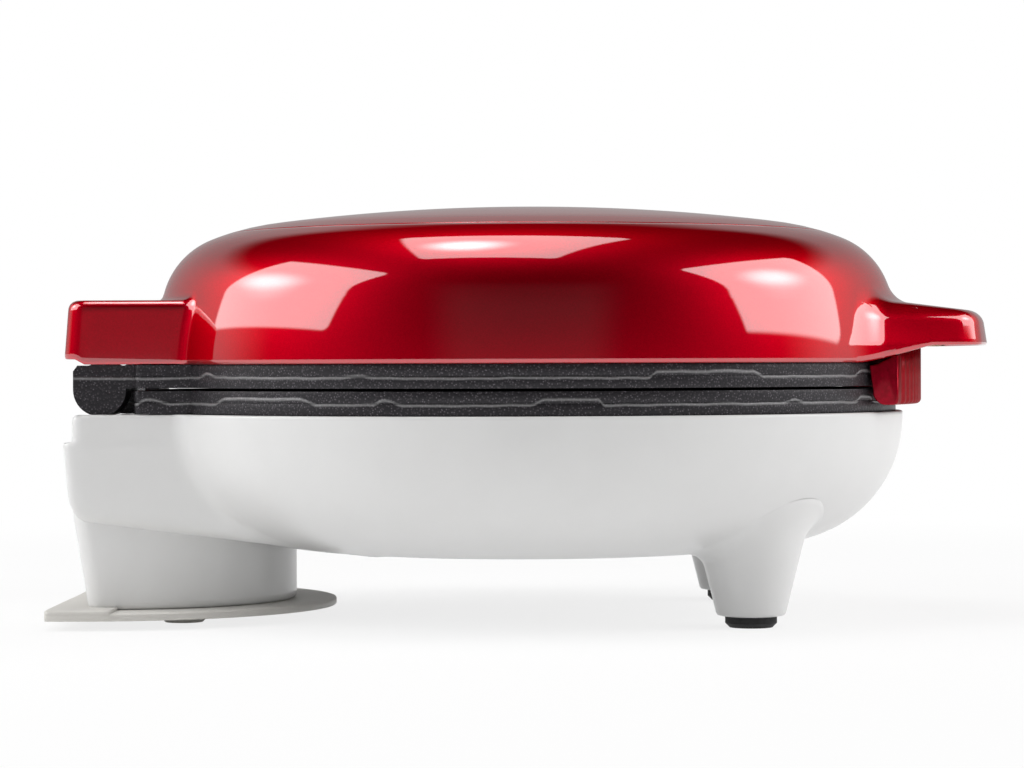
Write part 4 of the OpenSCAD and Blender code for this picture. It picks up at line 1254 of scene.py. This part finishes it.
# %% [markdown]
# A finish starts from a shader whose plain values are set on the shader itself. Only what changes over the
# surface, its colour and its relief, comes through nodes.

# %% Finishes


def blank(name, settings):
    """A material and its shader."""
    material = bpy.data.materials.new(name)
    material.use_nodes = True
    shader = material.node_tree.nodes["Principled BSDF"]
    for socket, value in settings.items():
        shader.inputs[socket.replace("_", " ")].default_value = value
    return material, shader


def bumpy(tree, shader, source, depth):
    """Lets a value raise the surface by up to depth metres."""
    node = wired(tree, "ShaderNodeBump")
    node.inputs["Distance"].default_value = depth
    node.inputs["Strength"].default_value = 1.0
    tree.links.new(source, node.inputs["Height"])
    tree.links.new(node.outputs["Normal"], shader.inputs["Normal"])


def finish(name, cells, deep, light, relief=None, **settings):
    """A material between two shades. Relief is the cells per metre and the depth of its unevenness."""
    material, shader = blank(name, settings)
    tree = material.node_tree
    tree.links.new(ramp(tree, noise(tree, cells), [(0.3, deep), (0.7, light)]), shader.inputs["Base Color"])
    if relief:
        bumpy(tree, shader, noise(tree, relief[0]), relief[1])
    return material


def paint(names, material):
    """Puts a material on pieces, which are given as nodes' names or as objects."""
    for name in names:
        piece = nodes[name] if isinstance(name, str) else name
        piece.data.materials.clear()
        piece.data.materials.append(material)


print("materials before the first finish:", len(bpy.data.materials))

# %% [markdown]
# The lid is lacquered over a red metallic coat. The clear lacquer shows the lamps sharply, while the coat
# under it is darker, spreads them widely and sparkles with fine flakes.

# %% Red lacquer
lacquer = finish("red_metallic", 2600.0, (0.57, 0.001, 0.014), (0.69, 0.001, 0.018), (1900.0, 0.00002),
                 Metallic=1.0, Roughness=0.47, Coat_Weight=1.0, Coat_Roughness=0.03, Coat_IOR=2.15,
                 Specular_Tint=(0.5, 0.01, 0.02, 1.0))
paint([lid, cap], lacquer)
print("lid and cap:", lacquer.name)

# %% [markdown]
# The housing is white plastic with a soft gloss, the cord rest a warmer white, and the latch a darker red
# that was moulded in its colour, not lacquered. The front pads are black rubber. The rear pads are given a
# pale colour as painted light, so that they don't show dark in the shade under the cord rest.

# %% Plastics and rubber
paint([base], finish("white_housing", 60.0, (0.83, 0.83, 0.825), (0.85, 0.85, 0.845), (90.0, 0.00001),
                     Roughness=0.32, Coat_Weight=0.25, Coat_Roughness=0.12))
paint([cord_rest], finish("ivory_flange", 80.0, (0.71, 0.69, 0.65), (0.735, 0.715, 0.675), (1500.0, 0.00001),
                          Roughness=0.42))
paint([latch], finish("red_latch", 900.0, (0.29, 0.002, 0.013), (0.39, 0.002, 0.019), Metallic=0.85,
                      Roughness=0.42, Coat_Weight=0.2, Coat_Roughness=0.15,
                      Specular_Tint=(0.5, 0.02, 0.04, 1.0)))
rubber = finish("rubber", 700.0, (0.014, 0.014, 0.015), (0.028, 0.028, 0.029), (1800.0, 0.00003),
                Roughness=0.75)
paint(["front_foot_pads", "cord_gland"], rubber)
# painted light: the rear pads are paled so that the shade they stand in doesn't show
paint(["rear_foot_pads"],
      finish("shade_lifting_rubber", 700.0, (0.7, 0.68, 0.64), (0.74, 0.72, 0.68), Roughness=0.7))
print("materials so far:", len(bpy.data.materials))

# %% [markdown]
# At half the height of each plate's rim runs the flash line of the casting, where the two halves of its
# mould met. It wanders and swells, so noise that is drawn out upright moves a narrow band up and down. The
# band gives the line's relief, and also a painted highlight along it. Inside RIM_SIDE_R the casting shows no
# such line.

# %% Flash line of the castings
RIM_SIDE_R = 0.1038
LINE_HALF = 0.0008
LINE_SWAY = 0.0009
SWELL_LOW = -0.0008
SWELL_HIGH = 0.0006
UPRIGHT = (1.0, 1.0, 0.05)


def flash_line_and_highlight(tree, place, middle_z, wave):
    """One on the flash line of a rim, and zero away from it: the line's relief and its painted highlight."""
    split = wired(tree, "ShaderNodeSeparateXYZ", place)
    swell = ranged(tree, noise(tree, wave, 2.0, UPRIGHT), 0.52, 0.6, middle_z + SWELL_LOW,
                   middle_z + SWELL_HIGH)
    line_z = number(tree, "MULTIPLY_ADD", noise(tree, 110.0, 3.0, UPRIGHT), LINE_SWAY, swell)
    off = number(tree, "ABSOLUTE", number(tree, "SUBTRACT", split.outputs["Z"], line_z))
    line = ramp(tree, number(tree, "DIVIDE", off, LINE_HALF),
                [(0.0, (0.6, 0.6, 0.6)), (0.35, (0.35, 0.35, 0.35)), (0.7, (0.0, 0.0, 0.0))])
    level = wired(tree, "ShaderNodeCombineXYZ", split.outputs["X"], split.outputs["Y"])
    reach = vector(tree, "LENGTH", level.outputs["Vector"])
    return number(tree, "MULTIPLY", line, number(tree, "GREATER_THAN", reach, RIM_SIDE_R))


print("flash line: %.1f mm wide" % (2000 * LINE_HALF))

# %% [markdown]
# The plates' charcoal non-stick coat glitters a little, from grains in it. The flash line is a slightly
# raised band, and the paler colour along it is a painted highlight. A small bevel rounds the plates' rims.

# %% Coated castings
LINE_HIGHLIGHT_STRENGTH = 0.35


def speckled_coat(middle_z, wave):
    """The non-stick coat of one plate."""
    material, shader = blank("nonstick_casting", {"Metallic": 0.35, "Roughness": 0.42})
    tree = material.node_tree
    place = wired(tree, "ShaderNodeTexCoord").outputs["Object"]
    grains = wired(tree, "ShaderNodeTexVoronoi", place)
    grains.inputs["Scale"].default_value = 1500.0
    grain = ramp(tree, grains.outputs["Distance"],
                 [(0.0, (0.28, 0.26, 0.3)), (0.2, (0.07, 0.062, 0.07)), (0.5, (0.022, 0.02, 0.024))])
    line = flash_line_and_highlight(tree, place, middle_z, wave)
    # painted highlight: the flash line is added to the coat's colour as a paler band
    mix = wired(tree, "ShaderNodeMix", LINE_HIGHLIGHT_STRENGTH, data_type="RGBA", blend_type="ADD")
    tree.links.new(grain, mix.inputs[6])
    tree.links.new(line, mix.inputs[7])
    tree.links.new(mix.outputs[2], shader.inputs["Base Color"])
    bumpy(tree, shader, number(tree, "MULTIPLY_ADD", line, 6.0, grains.outputs["Distance"]), 0.00006)
    return material


PLATES = [("lower_plate", 0.0610, 37.0), ("upper_plate", 0.0680, 28.0)]
for name, middle_z, wave in PLATES:
    paint([name], speckled_coat(middle_z, wave))
    weld = nodes[name].modifiers.new("weld", "WELD")
    weld.merge_threshold = 0.00001
    bevel = nodes[name].modifiers.new("rounded_rim", "BEVEL")
    bevel.width = 0.0005
    bevel.segments = 2
    bevel.limit_method = "ANGLE"
    bevel.angle_limit = math.radians(60)
print("plates:", [nodes[name].data.materials[0].name for name, _, _ in PLATES])

# %% [markdown]
# The metals inside differ in gloss and shade: zinc on the screws, dull steel on the heaters, bright sheet on
# the reflectors. The terminal block is unglazed ceramic. The lenses and the lamps under them let light pass.

# %% Metals and small parts
METALS = [
    ("zinc_screws", (0.62, 0.63, 0.65), 0.35, 900.0, [name for name in nodes if name.endswith("_screws")]),
    ("heater_tube", (0.33, 0.33, 0.34), 0.5, 500.0, ["lower_heater", "upper_heater", "thermal_fuse"]),
    ("aluminised_steel", (0.72, 0.73, 0.74), 0.3, 120.0, ["lower_reflector", "upper_reflector"]),
    ("thermostat_metal", (0.7, 0.71, 0.72), 0.28, 300.0, ["thermostat"]),
    ("pin_steel", (0.62, 0.63, 0.65), 0.25, 800.0, ["hinge_pins", "latch_pins"]),
]
CLEAR = [
    (power_lens, "power_lens", (0.6, 0.02, 0.02)),
    (ready_lens, "ready_lens", (0.02, 0.45, 0.1)),
]


def shaded(colour, share):
    return tuple(share * part for part in colour)


for name, colour, rough, cells, pieces in METALS:
    paint(pieces, finish(name, cells, shaded(colour, 0.85), colour, Metallic=1.0, Roughness=rough))
paint(["terminal_block"],
      finish("terminal_ceramic", 400.0, (0.66, 0.64, 0.58), (0.73, 0.71, 0.65), Roughness=0.6))
for piece, name, colour in CLEAR:
    paint([piece], finish(name, 600.0, shaded(colour, 0.8), colour, Roughness=0.12, Transmission_Weight=0.5,
                          Coat_Weight=0.5))
paint(["indicator_lamps"], finish("lamp_glass", 300.0, (0.85, 0.7, 0.5), (0.9, 0.76, 0.56), Roughness=0.1,
                                  Transmission_Weight=0.8))
print("materials:", len(bpy.data.materials))

# %% [markdown]
# ## Floor, lamps and camera
# The floor is pale, keeps the object's shadow and fades to white farther out, where it meets the background.
# A very large floor with a glow that only the camera and mirrors see needs no curved backdrop.

# %% Floor
FLOOR_HALF = 60.0
FADE_START = 0.16
FADE_END = 0.6
FADE_NEAR = 0.8

floor_mesh = bmesh.new()
bmesh.ops.create_grid(floor_mesh, x_segments=2, y_segments=2, size=FLOOR_HALF)
floor_data = bpy.data.meshes.new("floor")
floor_mesh.to_mesh(floor_data)
floor_mesh.free()
floor = linked("floor", floor_data)

pale = bpy.data.materials.new("pale_floor")
pale.use_nodes = True
tree = pale.node_tree
tree.nodes.remove(tree.nodes["Principled BSDF"])
away = vector(tree, "LENGTH", wired(tree, "ShaderNodeTexCoord").outputs["Object"])
path = wired(tree, "ShaderNodeLightPath")
seen = number(tree, "MAXIMUM", path.outputs["Is Camera Ray"], path.outputs["Is Glossy Ray"])
share = number(tree, "MULTIPLY", seen, ranged(tree, away, FADE_START, FADE_END, FADE_NEAR, 1.0))
matt = wired(tree, "ShaderNodeBsdfDiffuse", (0.9, 0.9, 0.9, 1.0))
glow = wired(tree, "ShaderNodeEmission", (1.0, 1.0, 1.0, 1.0))
blend = wired(tree, "ShaderNodeMixShader", share, matt.outputs[0], glow.outputs[0])
tree.links.new(blend.outputs[0], tree.nodes["Material Output"].inputs["Surface"])
floor.data.materials.append(pale)
print("floor:", [round(side, 1) for side in floor.dimensions])

# %% [markdown]
# Two large lamps lean over the lid from the left and the right and a third hangs overhead, as in a light
# tent for small goods. What the lacquer mirrors is the lamp itself, so each lamp is drawn with care: its
# corners are rounded, one of them is cut off, and it is brighter where its bulb stands.

# %% How a lamp glows
LAMP_CORNER = 0.05
CUT_SOFT = 0.03
BULB_REACH = 0.32


def lamp_pattern(tree, wide, high, strength, hot, hot_at, cut):
    """How bright each place of a lamp is, from its middle to its rounded corners."""
    across = wired(tree, "ShaderNodeNewGeometry").outputs["Parametric"]
    middle = vector(tree, "SUBTRACT", across, (0.5, 0.5, 0.0))
    size = vector(tree, "ABSOLUTE", vector(tree, "MULTIPLY", middle, (wide, high, 0.0)))
    inner = (wide / 2 - LAMP_CORNER, high / 2 - LAMP_CORNER, 0.0)
    past = vector(tree, "MAXIMUM", vector(tree, "SUBTRACT", size, inner), (0.0, 0.0, 0.0))
    mask = ranged(tree, vector(tree, "LENGTH", past), 0.6 * LAMP_CORNER, LAMP_CORNER, 1.0, 0.0)
    from_bulb = vector(tree, "DISTANCE", across, (*hot_at, 0.0))
    glow = ranged(tree, from_bulb, 0.0, BULB_REACH, hot, strength, "SMOOTHERSTEP")
    power = number(tree, "MULTIPLY", glow, mask)
    if cut:
        slant = vector(tree, "DOT_PRODUCT", middle, (*cut[:2], 0.0))
        power = number(tree, "MULTIPLY", power, ranged(tree, slant, cut[2] - CUT_SOFT, cut[2], 1.0, 0.0))
    return power


print("a lamp's corners have a radius of %.0f mm" % (1000 * LAMP_CORNER))

# %% [markdown]
# Each lamp is a rectangle that shines along its own facing, and turned says how far it is rolled about it.
# The two side lamps have one corner cut off.

# %% Lamps


def softbox(name, place, facing, wide, high, strength, hot, hot_at, turned, cut=None):
    """A lamp that shines along facing. Strength is its brightness in a mirror, and hot that of its bulb."""
    data = bpy.data.lights.new(name, "AREA")
    data.shape = "RECTANGLE"
    data.size = wide
    data.size_y = high
    data.energy = math.pi * wide * high
    data.use_nodes = True
    tree = data.node_tree
    power = lamp_pattern(tree, wide, high, strength, hot, hot_at, cut)
    tree.links.new(power, tree.nodes["Emission"].inputs["Strength"])
    back = -Vector(facing).normalized()
    level = Vector((0.0, 1.0, 0.0))
    level = (level - level.dot(back) * back).normalized()
    level.rotate(Matrix.Rotation(math.radians(turned), 3, back))
    turn = Matrix((level, back.cross(level), back)).transposed().to_4x4()
    linked(name, data).matrix_world = Matrix.Translation(place) @ turn


softbox("left_lamp", place=(-0.735, -0.085, 0.43), facing=(0.61, 0.0, -0.79), wide=0.84, high=0.56,
        strength=2.55, hot=6.5, hot_at=(0.56, 0.5), turned=8.0, cut=(0.94, -0.34, 0.31))
softbox("right_lamp", place=(0.675, -0.10, 0.45), facing=(-0.965, 0.0, -0.262), wide=0.70, high=0.54,
        strength=2.55, hot=6.5, hot_at=(0.55, 0.5), turned=-9.0, cut=(-0.973, -0.233, 0.385))
softbox("top_lamp", place=(-0.085, -0.035, 1.02), facing=(0.0, 0.0, -1.0), wide=0.76, high=0.57,
        strength=2.2, hot=8.0, hot_at=(0.5, 0.66), turned=-10.0)
print("lamps:", len(bpy.data.lights))

# %% [markdown]
# The world gives a plain soft light all round. The camera, and what is seen through clear pieces, finds it
# white. A mirror finds a pale backdrop behind the object and a dim room in front of it, which gives the lid
# its deep middle.

# %% World
SOFT_LIGHT = 0.35
BACKDROP = 0.4
ROOM = 0.06

world = bpy.data.worlds.new("studio")
bpy.context.scene.world = world
world.use_nodes = True
tree = world.node_tree
tree.nodes.clear()
toward_x, toward_y, toward_z = wired(tree, "ShaderNodeSeparateXYZ",
                                     wired(tree, "ShaderNodeTexCoord").outputs["Generated"]).outputs
behind = ranged(tree, toward_y, -0.15, 0.35, 0.0, 1.0)
backdrop = number(tree, "MULTIPLY", behind, ranged(tree, toward_z, 0.45, 0.6, 1.0, 0.0))
ahead = ranged(tree, toward_y, -0.5, -0.2, 1.0, 0.0)
near_middle = ranged(tree, number(tree, "ABSOLUTE", toward_x), 0.28, 0.52, 1.0, 0.0)
room = number(tree, "MULTIPLY", number(tree, "MULTIPLY", near_middle, ahead),
              ranged(tree, toward_z, 0.35, 0.6, 1.0, 0.0))
mirrored = number(tree, "MULTIPLY_ADD", backdrop, BACKDROP, number(tree, "MULTIPLY", room, ROOM))
path = wired(tree, "ShaderNodeLightPath")
glossy = path.outputs["Is Glossy Ray"]
through = number(tree, "MAXIMUM", path.outputs["Is Camera Ray"], path.outputs["Is Transmission Ray"])
soft = number(tree, "MULTIPLY", number(tree, "SUBTRACT", 1.0, glossy), SOFT_LIGHT)
lit = number(tree, "ADD", soft, number(tree, "MULTIPLY", glossy, mirrored))
rest = number(tree, "MULTIPLY", lit, number(tree, "SUBTRACT", 1.0, through))
background = wired(tree, "ShaderNodeBackground", (1.0, 1.0, 1.0, 1.0), number(tree, "ADD", rest, through))
wired(tree, "ShaderNodeOutputWorld", background.outputs[0])
print("world:", len(tree.nodes), "nodes")

# %% [markdown]
# The camera stands nearly a metre away at the height of the lid, and looks a little down.

# %% Camera
CAMERA_PLACE = (0.0088, -0.950, 0.0711)
CAMERA_LENS = 116.9
CAMERA_PAN = 0.827
CAMERA_DIP = 0.343
CAMERA_ROLL = -0.195

camera_data = bpy.data.cameras.new("camera")
camera_data.lens = CAMERA_LENS
camera_data.sensor_width = 36.0
camera = linked("camera", camera_data)
turn = Matrix.Rotation(math.radians(CAMERA_PAN), 4, "Z")
turn = turn @ Matrix.Rotation(math.radians(90 - CAMERA_DIP), 4, "X")
turn = turn @ Matrix.Rotation(math.radians(CAMERA_ROLL), 4, "Z")
camera.matrix_world = Matrix.Translation(CAMERA_PLACE) @ turn
bpy.context.scene.camera = camera
bpy.context.scene.view_settings.view_transform = "Standard"
print("camera: %.1f mm lens" % camera_data.lens)
